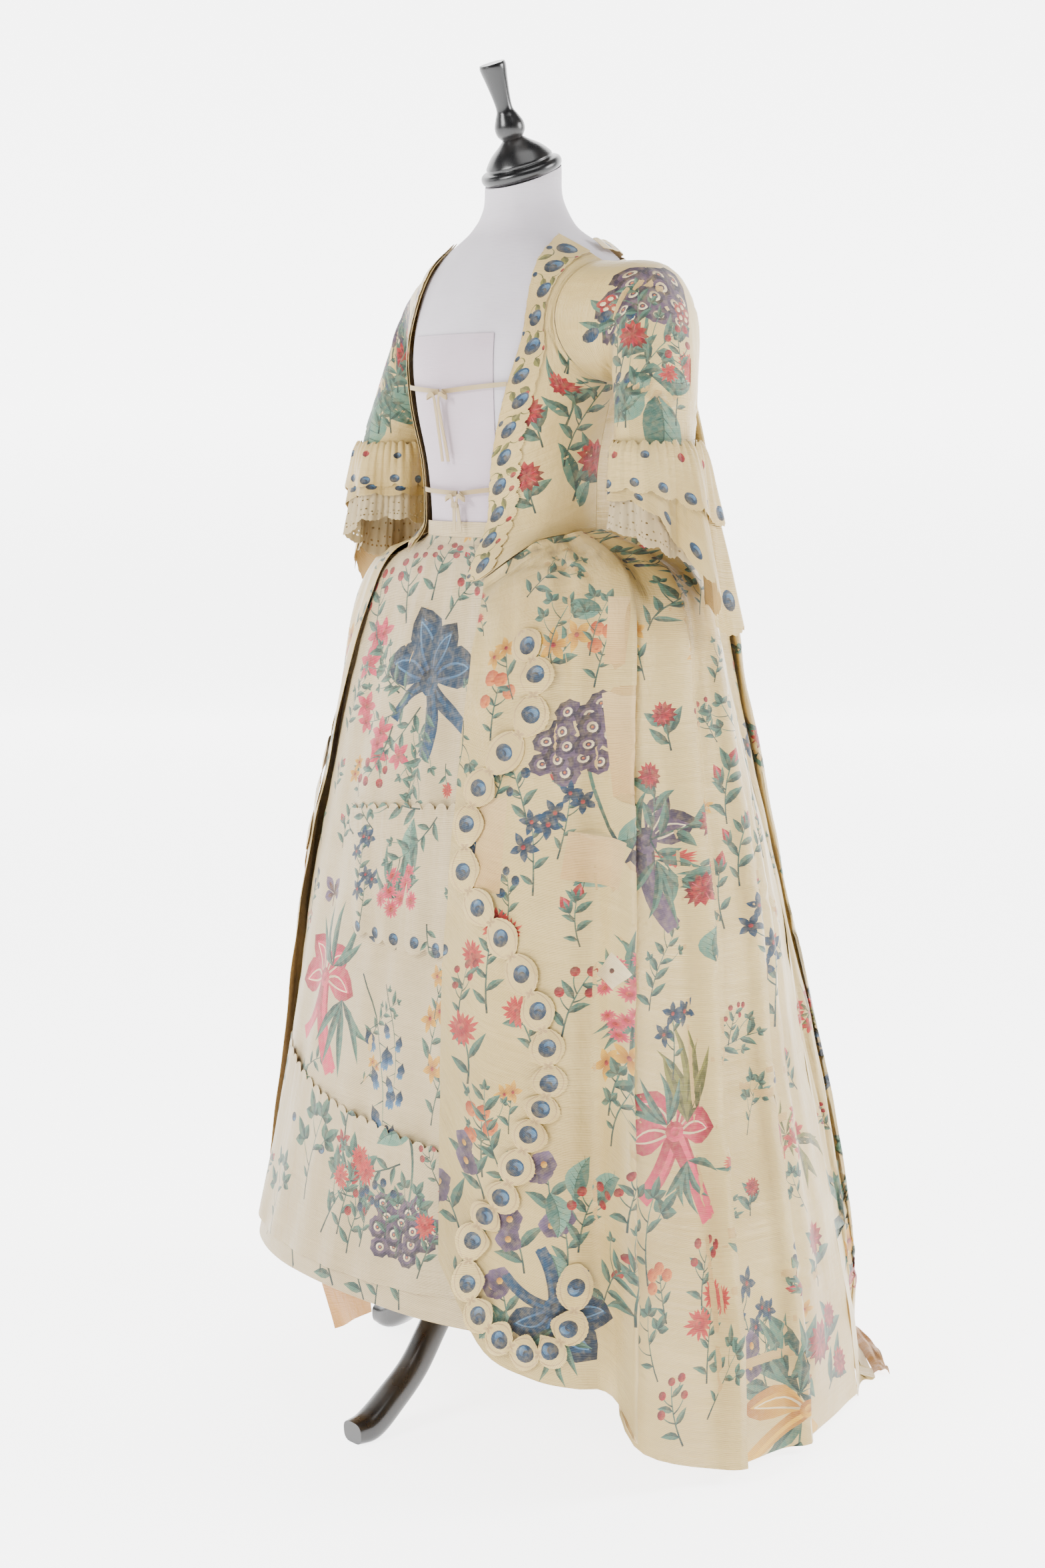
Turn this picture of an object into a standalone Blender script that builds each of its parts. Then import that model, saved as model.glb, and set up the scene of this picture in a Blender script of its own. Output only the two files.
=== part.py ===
"""Robe a la francaise and its petticoat, on a limbless dress form and a four-legged stand.

Metres, +Z up. The wearer faces -Y and the wearer's left is +X. Heights are above the floor.
Directions round the body are bearings in degrees: 0 is the front, 90 the wearer's left and
180 the back, all about one upright axis, the line x = 0, y = AXIS_Y of the figure's own frame.
Every piece of cloth is a wall: a grid of points on the wearer's side, and the same grid moved
out by the wall's thickness.
"""

from math import cos, pi, radians, sin

import bpy
import numpy as np

# ---- driving sizes -------------------------------------------------------------------------
WALL = 0.0013               # silk with its lining
TAPE = 0.0010               # linen tape and muslin
SEAM = 0.0003               # room left between pieces that are sewn together
LAP = 0.0016                # room under a piece that lies on another
AXIS_Y = -0.040             # the body's upright axis
BACK_SHIFT = -0.072         # moves the whole figure so that its box is centred on the origin
BODY_POWER = 2.3            # squareness of the body's sections: 2 is an ellipse
SKIRT_POWER = 2.5

NECK_TILT = radians(22)     # the neck is cut sloping down to the front
NECK_TOP = 1.655
FORM_FOOT = 0.860
POLE_RADIUS = 0.015
HUB_BOTTOM = 0.185
HUB_TOP = 0.262

BAND_BOTTOM = 1.1863        # the petticoat's waistband
BAND_TOP = 1.206
PETTICOAT_HEM = 0.205
SHOULDER_Z = 1.572          # where the shoulder seam meets the neck
BACK_NECK_Z = 1.566
SACK_TOP = 1.538
FLOOR_ROOM = 0.0006         # the train just clears the floor plane that the feet stand on

FRONT_POINT = 1.126         # lowest point of the bodice fronts
ARMHOLE = {"bearing": 91.0, "z": 1.461, "half_angle": 30.0, "half_height": 0.075}
SIDE_ROOM = 0.25            # degrees left open at the side seams
ROBING_WIDTH = 0.046
WAIST_ROOM = 0.0022         # the skirts hang this far below the bodice's edge
PLEAT_DROP = 0.50           # and their pleats this share of what they stand out
SEAM_ROOM = 0.2             # degrees left open where the skirts meet the sack
FRONT_HALF = 96.0           # bearing of the petticoat's side seams
FRONT_COLUMNS = 23
ROBING_SCALLOPS = 13
SLEEVE_SIDES = 18
RUFFLE_WAVES = 7
OVALS = 26                  # pinked ovals in each serpentine trimming
OVAL_WIDE = 0.025           # half widths of the trimming, at an oval and between two
OVAL_NARROW = 0.010
TRIM_SEAM = 0.0020          # where its upper end is sewn down
TRIM_ROOM = {"left": 0.0046, "right": 0.0060}   # it crosses the skirt's cells
FLAT_COLUMNS = 5            # columns of a skirt before its first pleat
TRAIN_SPREAD = 0.020        # how far the train's hem turns out on the floor
FACING_SPREAD = 0.022       # and how far its facing shows beyond it
FACING_CRUMPLE = 0.0035
HEM_FLOOR = 0.03            # the sack's section at this height gives its line on the floor
HEM_OUT = 0.014             # which lies this far out of it
HEM_GROWS = 0.26            # and its ends move out by this share of the spread
HEM_TURN = {"share": 0.38, "z": 0.0056}     # where the train's hem bends on to the floor
NECK_BEND = 1.59            # the form's sections tilt above this height
LEG_FLATS = 1.08            # an eight-sided leg this much larger holds the leg's own section
FLOUNCE_WAVE = 0.0045       # how far a petticoat flounce's waves stand off
FLOUNCE_SCALLOP = 0.010
FORM_SIDES = 22
BODICE_COLUMNS = 6          # columns between a bodice front's robing and its side seam
BODICE_LIFT = 0.004         # the least step between its lowest two rows
RIGHT_POINT = 0.035         # how much higher the right front's point ends
UNDERARM = 0.42             # share of a bodice panel's outer edge that is its side seam
ROBING_EDGE = {"inside": 1.72, "scallop": 0.24}     # in columns of the bodice front
NECK_BAND = {"from": 98.0, "to": 262.0, "columns": 13, "below": 0.003, "wide": 0.016}
HIP_SHARE = 0.16            # share of a skirt's length that is above SKIRT_HIP
PLEAT_LAYER = 0.0045        # share of the skirt that one lap takes at its back edge
JOIN_WIDE = 5.0             # degrees of the sack that lie on the bodice back
JOIN_OUT = 0.0052           # and how far outside its wall
FRILL_SCALLOP = 0.010
FRILL_BACK = 0.003          # how far the frills sit behind the sleeve's middle
LONG_AT = radians(315)      # the frills are longest here, at the back of the elbow

# Heights and shares at which the grids below have their rows and columns.
FORM_ROWS = np.array([0.86, 0.92, 1.00, 1.12, 1.20, 1.26, 1.32, 1.38, 1.43, 1.48, 1.515,
                      1.54, 1.56, 1.577, 1.597, 1.622, 1.655])
PETTICOAT_ROWS = np.array([1.1858, 1.179, 1.170, 1.158, 1.142, 1.118, 1.07, 0.98, 0.85, 0.70, 0.54,
                           0.37, PETTICOAT_HEM])
BODICE_ROWS = np.concatenate([np.linspace(0, 0.36, 5), np.linspace(0.42, 1, 9)])[::-1]
SKIRT_HIP = 1.00            # rows above this height follow the hip, those below reach the hem
HIP_ROWS = np.array([0.0, 0.065, 0.12, 0.18, 0.26, 0.39, 0.63, 1.0])
HEM_ROWS = np.array([0.15, 0.32, 0.49, 0.67, 0.84, 1.0])
SACK_FREE_ROWS = (SACK_TOP, 1.49, 1.43, 1.35, 1.27, 1.206)
SACK_LOWEST = 0.024
# Columns of a skirt's flat front, closest where it rounds the corner of the hips.
FRONT_STOPS = {"left": (0.0, 0.26, 0.52, 0.77), "right": (0.0, 0.17, 0.36, 0.62)}
FRILL_ROWS = np.array([0.0, 0.35, 1.0])

# The torn facing under the petticoat's front: its left end, width and taper, then its height,
# depth and how much of that depth its right end loses.
FACING = {"x": -0.075, "wide": 0.115, "taper": 0.035, "z": 0.232, "deep": 0.085, "rise": 0.045}


def table(names, *rows):
    """Columns by name, from rows of numbers; the first column rises."""
    return {name: np.array(column) for name, column in zip(names.split(), zip(*rows))}


# The form under the clothes: half widths and the depths before and behind the axis.
FORM = table(
    "z      half   front  back   ease",
    (0.860, 0.160, 0.100, 0.115, 0.0110),
    (0.950, 0.176, 0.112, 0.132, 0.0110),
    (1.050, 0.160, 0.110, 0.124, 0.0110),
    (1.190, 0.1255, 0.108, 0.1186, 0.0085),
    (1.230, 0.1265, 0.109, 0.1201, 0.0075),
    (1.280, 0.130, 0.114, 0.124, 0.0060),
    (1.360, 0.150, 0.124, 0.134, 0.0055),
    (1.420, 0.159, 0.124, 0.138, 0.0055),
    (1.480, 0.160, 0.108, 0.136, 0.0055),
    (1.530, 0.147, 0.086, 0.121, 0.0060),
    (1.560, 0.116, 0.069, 0.097, 0.0058),
    (1.585, 0.076, 0.055, 0.069, 0.0080),
    (1.615, 0.053, 0.050, 0.051, 0.0060),
    (1.655, 0.048, 0.048, 0.048, 0.0060),
)

# The petticoat over its hip pads, carried on below its hem for the gown that hangs outside it.
SKIRT = table(
    "z      half   front  back   room",
    (0.000, 0.408, 0.345, 0.440, 0.020),
    (0.200, 0.388, 0.316, 0.400, 0.019),
    (0.350, 0.366, 0.284, 0.370, 0.018),
    (0.500, 0.344, 0.258, 0.335, 0.017),
    (0.760, 0.322, 0.208, 0.270, 0.014),
    (0.920, 0.293, 0.177, 0.225, 0.011),
    (1.040, 0.277, 0.150, 0.185, 0.010),
    (1.100, 0.266, 0.134, 0.160, 0.009),
    (1.135, 0.246, 0.126, 0.145, 0.008),
    (1.155, 0.212, 0.121, 0.134, 0.0080),
    (1.170, 0.166, 0.116, 0.126, 0.0078),
    (1.180, 0.136, 0.112, 0.121, 0.0070),
    (1.187, 0.128, 0.110, 0.120, 0.0070),
    (1.206, 0.127, 0.110, 0.120, 0.0070),
)

# Front edges of the bodice, which does not meet: how far to either side of the middle.
EDGE = table(
    "z      left   right",
    (1.125, 0.034, 0.100),
    (1.185, 0.046, 0.098),
    (1.285, 0.059, 0.102),
    (1.370, 0.086, 0.112),
    (1.440, 0.106, 0.118),
    (1.490, 0.104, 0.109),
    (1.530, 0.100, 0.101),
    (1.572, 0.096, 0.096),
)

# Lower edge of the bodice round the body.
WAIST = table(
    "bearing z",
    (0.0, 1.126),
    (24.0, 1.130),
    (40.0, 1.157),
    (52.0, 1.176),
    (68.0, 1.188),
    (91.0, 1.192),
    (180.0, 1.193),
)

# Front edges of the gown's skirts, which hang open: bearings to either side of the front.
OPENING = table(
    "z      left   right",
    (0.150, 31.0, 66.0),
    (0.310, 27.5, 64.0),
    (0.457, 25.8, 61.0),
    (0.680, 22.8, 57.0),
    (0.864, 22.5, 56.0),
    (1.000, 23.2, 57.0),
    (1.120, 26.5, 56.0),
)

# Hem of each skirt, from its front edge (0) back to the seam with the sack (1). The first
# hip pleat lies at PLEAT_AT_HEM, where the front breadth ends higher than the side breadth.
PLEAT_AT_HEM = 0.335
HEM = table(
    "along z",
    (0.000, 0.285),
    (0.030, 0.241),
    (0.060, 0.202),
    (0.100, 0.181),
    (0.150, 0.164),
    (0.250, 0.150),
    (0.325, 0.147),
    (0.345, 0.062),
    (0.450, 0.030),
    (0.600, 0.012),
    (1.000, 0.003),
)

# Knife pleats of each skirt, let into the waist at the hip: where they lie between the front
# edge (0) and the back seam (1), how many degrees each laps, and how far it stands out.
HIP_PLEATS = table(
    "order left_waist left_hem right_waist right_hem lap_waist lap_hem rise_waist rise_hem",
    (0, 0.50, 0.335, 0.58, 0.58, 4.0, 2.2, 0.0078, 0.018),
    (1, 0.65, 0.560, 0.77, 0.76, 4.0, 1.8, 0.0078, 0.015),
    (2, 0.81, 0.740, 0.92, 0.90, 3.6, 1.8, 0.0078, 0.015),
)

# One knife pleat in section, in laps along and rises out; the cloth doubles back on itself.
PLEAT = table(
    "step along out",
    (0, -1.60, 0.00),
    (1, -0.66, 0.92),
    (2, 0.50, 1.00),
    (3, 0.50, 0.52),
    (4, -0.50, 0.46),
    (5, -0.50, 0.00),
    (6, 0.70, 0.00),
)

# The sack: half its width, and its distance behind the figure's origin at the middle and the
# outer pleat edge; bearing of the seam where it joins the side; depth of one pleat layer.
SACK = table(
    "z      half   middle edge   seam   layer  fold",
    (0.000, 0.306, 0.447, 0.302, 128.0, 0.012, 0.00),
    (0.030, 0.308, 0.445, 0.303, 128.0, 0.012, 0.00),
    (0.270, 0.290, 0.409, 0.291, 128.0, 0.011, 0.045),
    (0.430, 0.267, 0.379, 0.277, 128.0, 0.010, 0.09),
    (0.620, 0.231, 0.335, 0.249, 128.0, 0.009, 0.17),
    (0.800, 0.200, 0.296, 0.228, 128.0, 0.008, 0.36),
    (1.000, 0.168, 0.252, 0.202, 127.0, 0.007, 0.55),
    (1.150, 0.151, 0.226, 0.186, 126.0, 0.006, 0.70),
    (1.250, 0.138, 0.204, 0.171, 127.0, 0.005, 0.80),
    (1.360, 0.126, 0.176, 0.152, 129.0, 0.0042, 0.90),
    (1.450, 0.112, 0.142, 0.121, 131.0, 0.0038, 1.00),
    (1.500, 0.102, 0.119, 0.098, 133.0, 0.0036, 1.00),
    (1.546, 0.090, 0.094, 0.074, 136.0, 0.0034, 1.00),
)

# Half the sack's section: place across its half width and layer, folded and let out.
BOX_PLEAT = table(
    "step folded layer let_out level",
    (0, 0.00, 0.00, 0.00, 0.00),
    (1, 0.50, 0.00, 0.13, 0.00),
    (2, 0.50, 1.35, 0.175, 0.40),
    (3, 0.13, 1.35, 0.195, 1.00),
    (4, 0.13, 2.00, 0.25, 1.35),
    (5, 0.40, 2.00, 0.48, 1.50),
    (6, 0.72, 2.00, 0.74, 1.50),
    (7, 1.00, 2.00, 0.92, 1.50),
    (8, 1.00, 1.35, 0.955, 1.20),
    (9, 0.64, 1.35, 0.975, 0.70),
    (10, 0.64, 0.00, 1.01, 0.25),
    (11, 0.84, 0.00, 1.04, 0.00),
)

# Sleeve sections below the armhole: outer and inner points, centre and front-to-back radius.
SLEEVE = table(
    "row  out_x  out_z  in_x   in_z   y       deep",
    (1, 0.223, 1.524, 0.1790, 1.375, -0.004, 0.068),
    (2, 0.243, 1.485, 0.179, 1.365, -0.008, 0.070),
    (3, 0.257, 1.440, 0.185, 1.350, -0.016, 0.068),
    (4, 0.269, 1.392, 0.192, 1.333, -0.027, 0.064),
    (5, 0.280, 1.347, 0.199, 1.316, -0.038, 0.060),
    (6, 0.289, 1.306, 0.205, 1.298, -0.046, 0.056),
    (7, 0.292, 1.286, 0.207, 1.280, -0.048, 0.055),
)

# Sleeve frills, outermost first: height of the gathers, lengths at the inner and outer arm,
# room outside the sleeve, and scallops round the lower edge.
FRILLS = table(
    "frill top    short  long   close room    scallops",
    (0, 1.311, 0.075, 0.105, 3, 0.0122, 12),
    (1, 1.302, 0.078, 0.235, 3, 0.0092, 12),
    (2, 1.293, 0.090, 0.150, 1, 0.0052, 0),
)
FRILL_NAMES = ("flounce_upper", "flounce_lower", "lace_ruffle")
# What all the frills gain for each metre that they fall, so that they stay one inside another.
FRILL_LEAN = 0.08
FRILL_FLARE = 0.10
FRILL_WAVE = 0.085

# Serpentine trimming of the skirts, walked oval by oval from the waist: degrees round from the
# front edge, and height.
SERPENT = table(
    "oval   off   z",
    (0.0, 20.5, 1.068),
    (1.5, 26.4, 1.015),
    (2.5, 25.2, 0.966),
    (4.5, 9.5, 0.870),
    (5.5, 6.2, 0.826),
    (6.5, 6.0, 0.766),
    (8.5, 18.2, 0.690),
    (10.5, 25.6, 0.605),
    (12.5, 26.6, 0.520),
    (14.5, 21.7, 0.454),
    (16.5, 15.1, 0.374),
    (18.5, 8.4, 0.318),
    (19.5, 6.8, 0.266),
    (21.5, 12.1, 0.206),
    (23.5, 21.0, 0.196),
    (25.0, 26.4, 0.245),
    (26.0, 27.8, 0.300),
)
# The right skirt is pulled back, which crowds its trimming.
SERPENT_REACH = {"left": 1.0, "right": 0.95}

# Applied flounces of the petticoat front: top and lower edges as heights at places across.
FLOUNCE_UPPER = table(
    "across x_top  z_top  x_low  z_low",
    (0.00, -0.146, 0.826, -0.096, 0.662),
    (0.30, -0.050, 0.838, -0.018, 0.652),
    (0.65, 0.062, 0.849, 0.078, 0.652),
    (1.00, 0.170, 0.858, 0.176, 0.664),
)
FLOUNCE_LOWER = table(
    "across x_top  z_top  x_low  z_low",
    (0.00, -0.268, 0.492, -0.300, 0.236),
    (0.12, -0.220, 0.476, -0.240, 0.232),
    (0.35, -0.105, 0.445, -0.115, 0.230),
    (0.60, 0.010, 0.430, 0.010, 0.230),
    (0.80, 0.120, 0.420, 0.125, 0.236),
    (1.00, 0.225, 0.424, 0.240, 0.246),
)

# One leg of the stand: centre line out from the pole, with its half height and half width.
LEG = table(
    "step out    z      tall   wide",
    (0, 0.0303, 0.228, 0.020, 0.014),
    (1, 0.070, 0.227, 0.018, 0.015),
    (2, 0.118, 0.192, 0.018, 0.016),
    (3, 0.168, 0.128, 0.018, 0.017),
    (4, 0.207, 0.076, 0.018, 0.018),
    (5, 0.248, 0.042, 0.018, 0.020),
    (6, 0.285, 0.0174, 0.018, 0.021),
    (7, 0.314, 0.0144, 0.015, 0.018),
)
LEG_COUNT = 4
FIRST_LEG_BEARING = 0.0

# Half a bow of tape, from the bodice's edge by way of the knot and the loop to the tail:
# degrees from the knot (the first row is the edge), drop below it, distance out, and how far
# the tape is turned from standing on edge.
HALF_BOW = table(
    "step across drop out turn",
    (0, 0.0, 0.000, 0.0018, 0),
    (1, 1.3, 0.000, 0.0018, 0),
    (2, 4.0, 0.002, 0.0046, 0),
    (3, 7.5, 0.006, 0.0056, 0),
    (4, 9.1, 0.008, 0.0080, 0),
    (5, 7.5, 0.007, 0.0106, 0),
    (6, 4.4, 0.003, 0.0104, 0),
    (7, 2.4, 0.005, 0.0096, 15),
    (8, 1.4, 0.018, 0.0090, 65),
    (9, 1.6, 0.036, 0.0075, 90),
    (10, 2.8, 0.090, 0.0050, 90),
)
# Each bow: bearing and height of its knot, and the length of its tails.
TIES = {
    "tie_upper": {"knot": -8.0, "z": 1.374, "edge_rise": 0.008, "tail": 1.0},
    "tie_lower": {"knot": 0.5, "z": 1.243, "edge_rise": 0.005, "tail": 0.55},
}
TIE_WIDTH = 0.006
TIE_ROOM = 0.2              # degrees between a tape's end and the bodice's edge

CAP_PROFILE = table(
    "step radius z",
    (0, 0.0485, 0.000),
    (1, 0.0530, 0.003),
    (2, 0.0545, 0.009),
    (3, 0.0520, 0.014),
    (4, 0.0450, 0.017),
    (5, 0.0440, 0.022),
    (6, 0.0340, 0.034),
    (7, 0.0210, 0.044),
    (8, 0.0140, 0.050),
)
FINIAL_PROFILE = table(
    "step radius z",
    (0, 0.0140, 0.000),
    (1, 0.0190, 0.008),
    (2, 0.0195, 0.018),
    (3, 0.0150, 0.029),
    (4, 0.0110, 0.038),
    (5, 0.0115, 0.052),
    (6, 0.0145, 0.074),
    (7, 0.0175, 0.092),
    (8, 0.0168, 0.098),
)


# ---- reading tables and laying out points ----------------------------------------------------
def read(columns, name, at):
    """A column at any station, by cubic Hermite pieces.

    On one piece, with u from 0 to 1: (2u^3-3u^2+1) y0 + (u^3-2u^2+u) d m0
    + (3u^2-2u^3) y1 + (u^3-u^2) d m1, the slopes m taken from the neighbouring rows.
    """
    x = next(iter(columns.values()))
    y = columns[name]
    slope = np.gradient(y, x)
    at = np.clip(at, x[0], x[-1])
    i = np.clip(np.searchsorted(x, at) - 1, 0, len(x) - 2)
    d = x[i + 1] - x[i]
    u = (at - x[i]) / d
    return (
        (2 * u**3 - 3 * u**2 + 1) * y[i]
        + (u**3 - 2 * u**2 + u) * d * slope[i]
        + (3 * u**2 - 2 * u**3) * y[i + 1]
        + (u**3 - u**2) * d * slope[i + 1]
    )


def straight(columns, name, at):
    """A column at any station, by straight lines between its rows."""
    return np.interp(at, next(iter(columns.values())), columns[name])


def radius(columns, power, bearing, z):
    """Distance of a section from the axis: (|sin b / half|^n + |cos b / deep|^n)^(-1/n)."""
    b = np.radians(bearing)
    deep = np.where(np.cos(b) > 0, read(columns, "front", z), read(columns, "back", z))
    across = np.abs(np.sin(b) / read(columns, "half", z)) ** power
    return (across + np.abs(np.cos(b) / deep) ** power) ** (-1 / power)


def place(bearing, z, r):
    """The point at this bearing, height and distance from the axis."""
    b = np.radians(bearing)
    return np.stack([r * np.sin(b), AXIS_Y - r * np.cos(b), z + 0 * r], axis=-1)


def directions(points, axis, closed=False):
    """Direction of travel along a grid: the sum of the unit chords before and after a point."""
    chord = np.roll(points, -1, axis) - points if closed else np.diff(points, axis=axis)
    chord = chord / np.linalg.norm(chord, axis=-1, keepdims=True)
    if closed:
        return chord + np.roll(chord, 1, axis)
    first, last = np.take(chord, [0], axis), np.take(chord, [-1], axis)
    return np.concatenate([first, chord], axis) + np.concatenate([chord, last], axis)


def normals(points, closed=False):
    """Unit normals of a grid, square to its directions down the columns and along the rows."""
    out = np.cross(directions(points, 0), directions(points, 1, closed))
    return out / np.linalg.norm(out, axis=-1, keepdims=True)


def moved_out(radial, bearing, z, out):
    """A point of the surface r = radial(bearing, z), moved out square to its slope dr/dz."""
    step = 0.002
    slope = np.arctan((radial(bearing, z + step) - radial(bearing, z - step)) / (2 * step))
    b = np.radians(bearing)
    normal = np.stack([np.cos(slope) * np.sin(b), -np.cos(slope) * np.cos(b), -np.sin(slope)], -1)
    return place(bearing, z, radial(bearing, z)) + normal * np.asarray(out)[..., None]


def skirt_radius(bearing, z):
    return radius(SKIRT, SKIRT_POWER, bearing, z)


def bodice_radius(bearing, z):
    return radius(FORM, BODY_POWER, bearing, z) + read(FORM, "ease", z)


def petticoat(bearing, z, out=0.0):
    """A point on the wearer's side of the petticoat, moved out by `out`."""
    return moved_out(skirt_radius, bearing, z, out)


def gown(bearing, z, out=0.0):
    """A point on the wearer's side of the gown's skirts before they are pleated."""
    return moved_out(skirt_radius, bearing, z, read(SKIRT, "room", z) + out)


def bodice(bearing, z, out=0.0):
    """A point on the wearer's side of the bodice, which below the waist lies on the petticoat."""
    over_form = moved_out(bodice_radius, bearing, z, out)
    return np.where(np.asarray(z > BAND_TOP)[..., None], over_form, gown(bearing, z, out))


def edge_bearing(side, z):
    """Bearing of the bodice's front edge, whose distance from the middle is given."""
    x = read(EDGE, side, z)
    trial = np.linspace(0, 90, 181)
    found = [
        np.interp(xi, bodice(trial, np.full(181, zi))[:, 0], trial)
        for xi, zi in zip(np.ravel(x), np.ravel(z))
    ]
    return np.reshape(found, np.shape(z))


def armhole(turn):
    """Bearing and height on the armhole: turn 0 is the shoulder, 90 the front, 180 the underarm."""
    a = np.radians(turn)
    return (
        ARMHOLE["bearing"] - ARMHOLE["half_angle"] * np.sin(a),
        ARMHOLE["z"] + ARMHOLE["half_height"] * np.cos(a),
    )


def sample(points, row, column):
    """Points of a grid at fractional rows and columns, on the two triangles of each cell."""
    r = np.clip(np.floor(row).astype(int), 0, points.shape[0] - 2)
    c = np.clip(np.floor(column).astype(int), 0, points.shape[1] - 2)
    u = (row - r)[..., None]
    v = (column - c)[..., None]
    start, far = points[r, c], points[r + 1, c + 1]
    lower = start + (points[r + 1, c] - start) * u + (far - points[r + 1, c]) * v
    upper = start + (points[r, c + 1] - start) * v + (far - points[r, c + 1]) * u
    return np.where(u >= v, lower, upper)


# ---- making objects ----------------------------------------------------------------------------
def clear_scene():
    for old in list(bpy.data.objects):
        bpy.data.objects.remove(old, do_unlink=True)


def material(name, color, roughness, metallic=0.0):
    made = bpy.data.materials.new(name)
    made.use_nodes = True
    shader = made.node_tree.nodes["Principled BSDF"]
    shader.inputs["Base Color"].default_value = (*color, 1.0)
    shader.inputs["Roughness"].default_value = roughness
    shader.inputs["Metallic"].default_value = metallic
    return made


def add(name, points, faces, finish, sharp=50.0):
    """A mesh object of the figure, smooth but for edges sharper than `sharp` degrees."""
    mesh = bpy.data.meshes.new(name)
    mesh.from_pydata([tuple(p) for p in points], [], faces)
    mesh.materials.append(finish)
    mesh.shade_smooth()
    mesh.set_sharp_from_angle(angle=radians(sharp))
    made = bpy.data.objects.new(name, mesh)
    made.parent = bpy.data.objects["figure"]
    bpy.context.collection.objects.link(made)
    return made


def cloth(name, under, finish, thick=WALL, closed=False, level_top=False, right=False):
    """A wall on a grid of points: rows run down, columns round to the wearer's left.

    With level_top its upper edge is cut level, to meet the edge of the piece above it.
    With right it is the mirror image, made on the wearer's right.
    """
    rows, columns = under.shape[:2]
    if right:
        under = under[:, ::-1] * (-1, 1, 1)
    out = normals(under, closed)
    if level_top:
        out[0, :, 2] = 0
        out[0] /= np.linalg.norm(out[0], axis=-1, keepdims=True)
    over = under + thick * out
    points = np.concatenate([over.reshape(-1, 3), under.reshape(-1, 3)])
    span = columns if closed else columns - 1
    size = rows * columns

    def at(r, c, side=0):
        return side * size + r * columns + c % columns

    if right:
        halves = (((0, 0), (1, 0), (0, 1)), ((1, 0), (1, 1), (0, 1)))
    else:
        halves = (((0, 0), (1, 0), (1, 1)), ((0, 0), (1, 1), (0, 1)))
    faces = []
    for r in range(rows - 1):
        for c in range(span):
            for cell in halves:
                faces.append([at(r + i, c + j) for i, j in cell])
                faces.append([at(r + i, c + j, 1) for i, j in reversed(cell)])
    for c in range(span):
        faces.append([at(0, c), at(0, c + 1), at(0, c + 1, 1), at(0, c, 1)])
        last = rows - 1
        faces.append([at(last, c + 1), at(last, c), at(last, c, 1), at(last, c + 1, 1)])
    if not closed:
        for r in range(rows - 1):
            faces.append([at(r + 1, 0), at(r, 0), at(r, 0, 1), at(r + 1, 0, 1)])
            c = columns - 1
            faces.append([at(r, c), at(r + 1, c), at(r + 1, c, 1), at(r, c, 1)])
    return add(name, points, faces, finish)


def outside(under, thick=WALL, closed=False, room=LAP):
    """The grid on which a piece lies over a wall made by cloth()."""
    return under + (thick + room) * normals(under, closed)


def lathe(name, columns, finish, sides=14):
    """A turned solid about its own Z, closed at both ends."""
    turns = np.linspace(0, 2 * pi, sides, endpoint=False)
    points = [
        (r * cos(a), r * sin(a), z) for r, z in zip(columns["radius"], columns["z"]) for a in turns
    ]
    rings = len(columns["radius"])
    faces = [list(range(sides))[::-1], [(rings - 1) * sides + i for i in range(sides)]]
    for k in range(rings - 1):
        for i in range(sides):
            j = (i + 1) % sides
            faces.append([k * sides + i, k * sides + j, (k + 1) * sides + j, (k + 1) * sides + i])
    return add(name, points, faces, finish, sharp=40.0)


def solid_rings(name, grid, finish, sharp=50.0):
    """A closed solid through rings of points, given from top to bottom."""
    rings, sides = grid.shape[:2]
    faces = [list(range(sides)), [(rings - 1) * sides + i for i in range(sides)][::-1]]
    for k in range(rings - 1):
        for i in range(sides):
            j = (i + 1) % sides
            faces.append([k * sides + i, (k + 1) * sides + i, (k + 1) * sides + j, k * sides + j])
    return add(name, grid.reshape(-1, 3), faces, finish, sharp)


# ---- the dress form and its stand ----------------------------------------------------------------
def build_form(cover, wood):
    bearing = np.linspace(0, 360, FORM_SIDES, endpoint=False)
    b, h = np.meshgrid(bearing, FORM_ROWS[::-1])
    body = place(b, h, radius(FORM, BODY_POWER, b, h))
    tilt = np.clip((body[..., 2] - NECK_BEND) / (NECK_TOP - NECK_BEND), 0, 1)
    body[..., 2] += tilt * (body[..., 1] - AXIS_Y) * np.tan(NECK_TILT)
    solid_rings("form_torso", body, cover)
    cap = lathe("neck_cap", CAP_PROFILE, wood)
    top = np.array([0.0, AXIS_Y, NECK_TOP])
    axis = np.array([0.0, -sin(NECK_TILT), cos(NECK_TILT)])
    cap.location = top + axis * SEAM
    cap.rotation_euler = (NECK_TILT, 0, 0)
    finial = lathe("neck_finial", FINIAL_PROFILE, wood)
    finial.location = top + axis * (2 * SEAM + CAP_PROFILE["z"][-1])
    finial.rotation_euler = (NECK_TILT, 0, 0)


def build_stand(wood):
    pole = lathe(
        "stand_pole",
        table("radius z", (POLE_RADIUS, HUB_TOP + SEAM), (POLE_RADIUS, FORM_FOOT - SEAM)),
        wood,
        12,
    )
    pole.location = (0, AXIS_Y, 0)
    hub = lathe(
        "stand_hub",
        table(
            "radius z",
            (0.020, HUB_BOTTOM),
            (0.030, HUB_BOTTOM + 0.004),
            (0.030, HUB_TOP - 0.012),
            (0.024, HUB_TOP - 0.004),
            (0.018, HUB_TOP),
        ),
        wood,
        20,
    )
    hub.location = (0, AXIS_Y, 0)
    for k in range(LEG_COUNT):
        build_leg(f"stand_leg_{k + 1}", FIRST_LEG_BEARING + 90.0 * k, wood)


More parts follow.
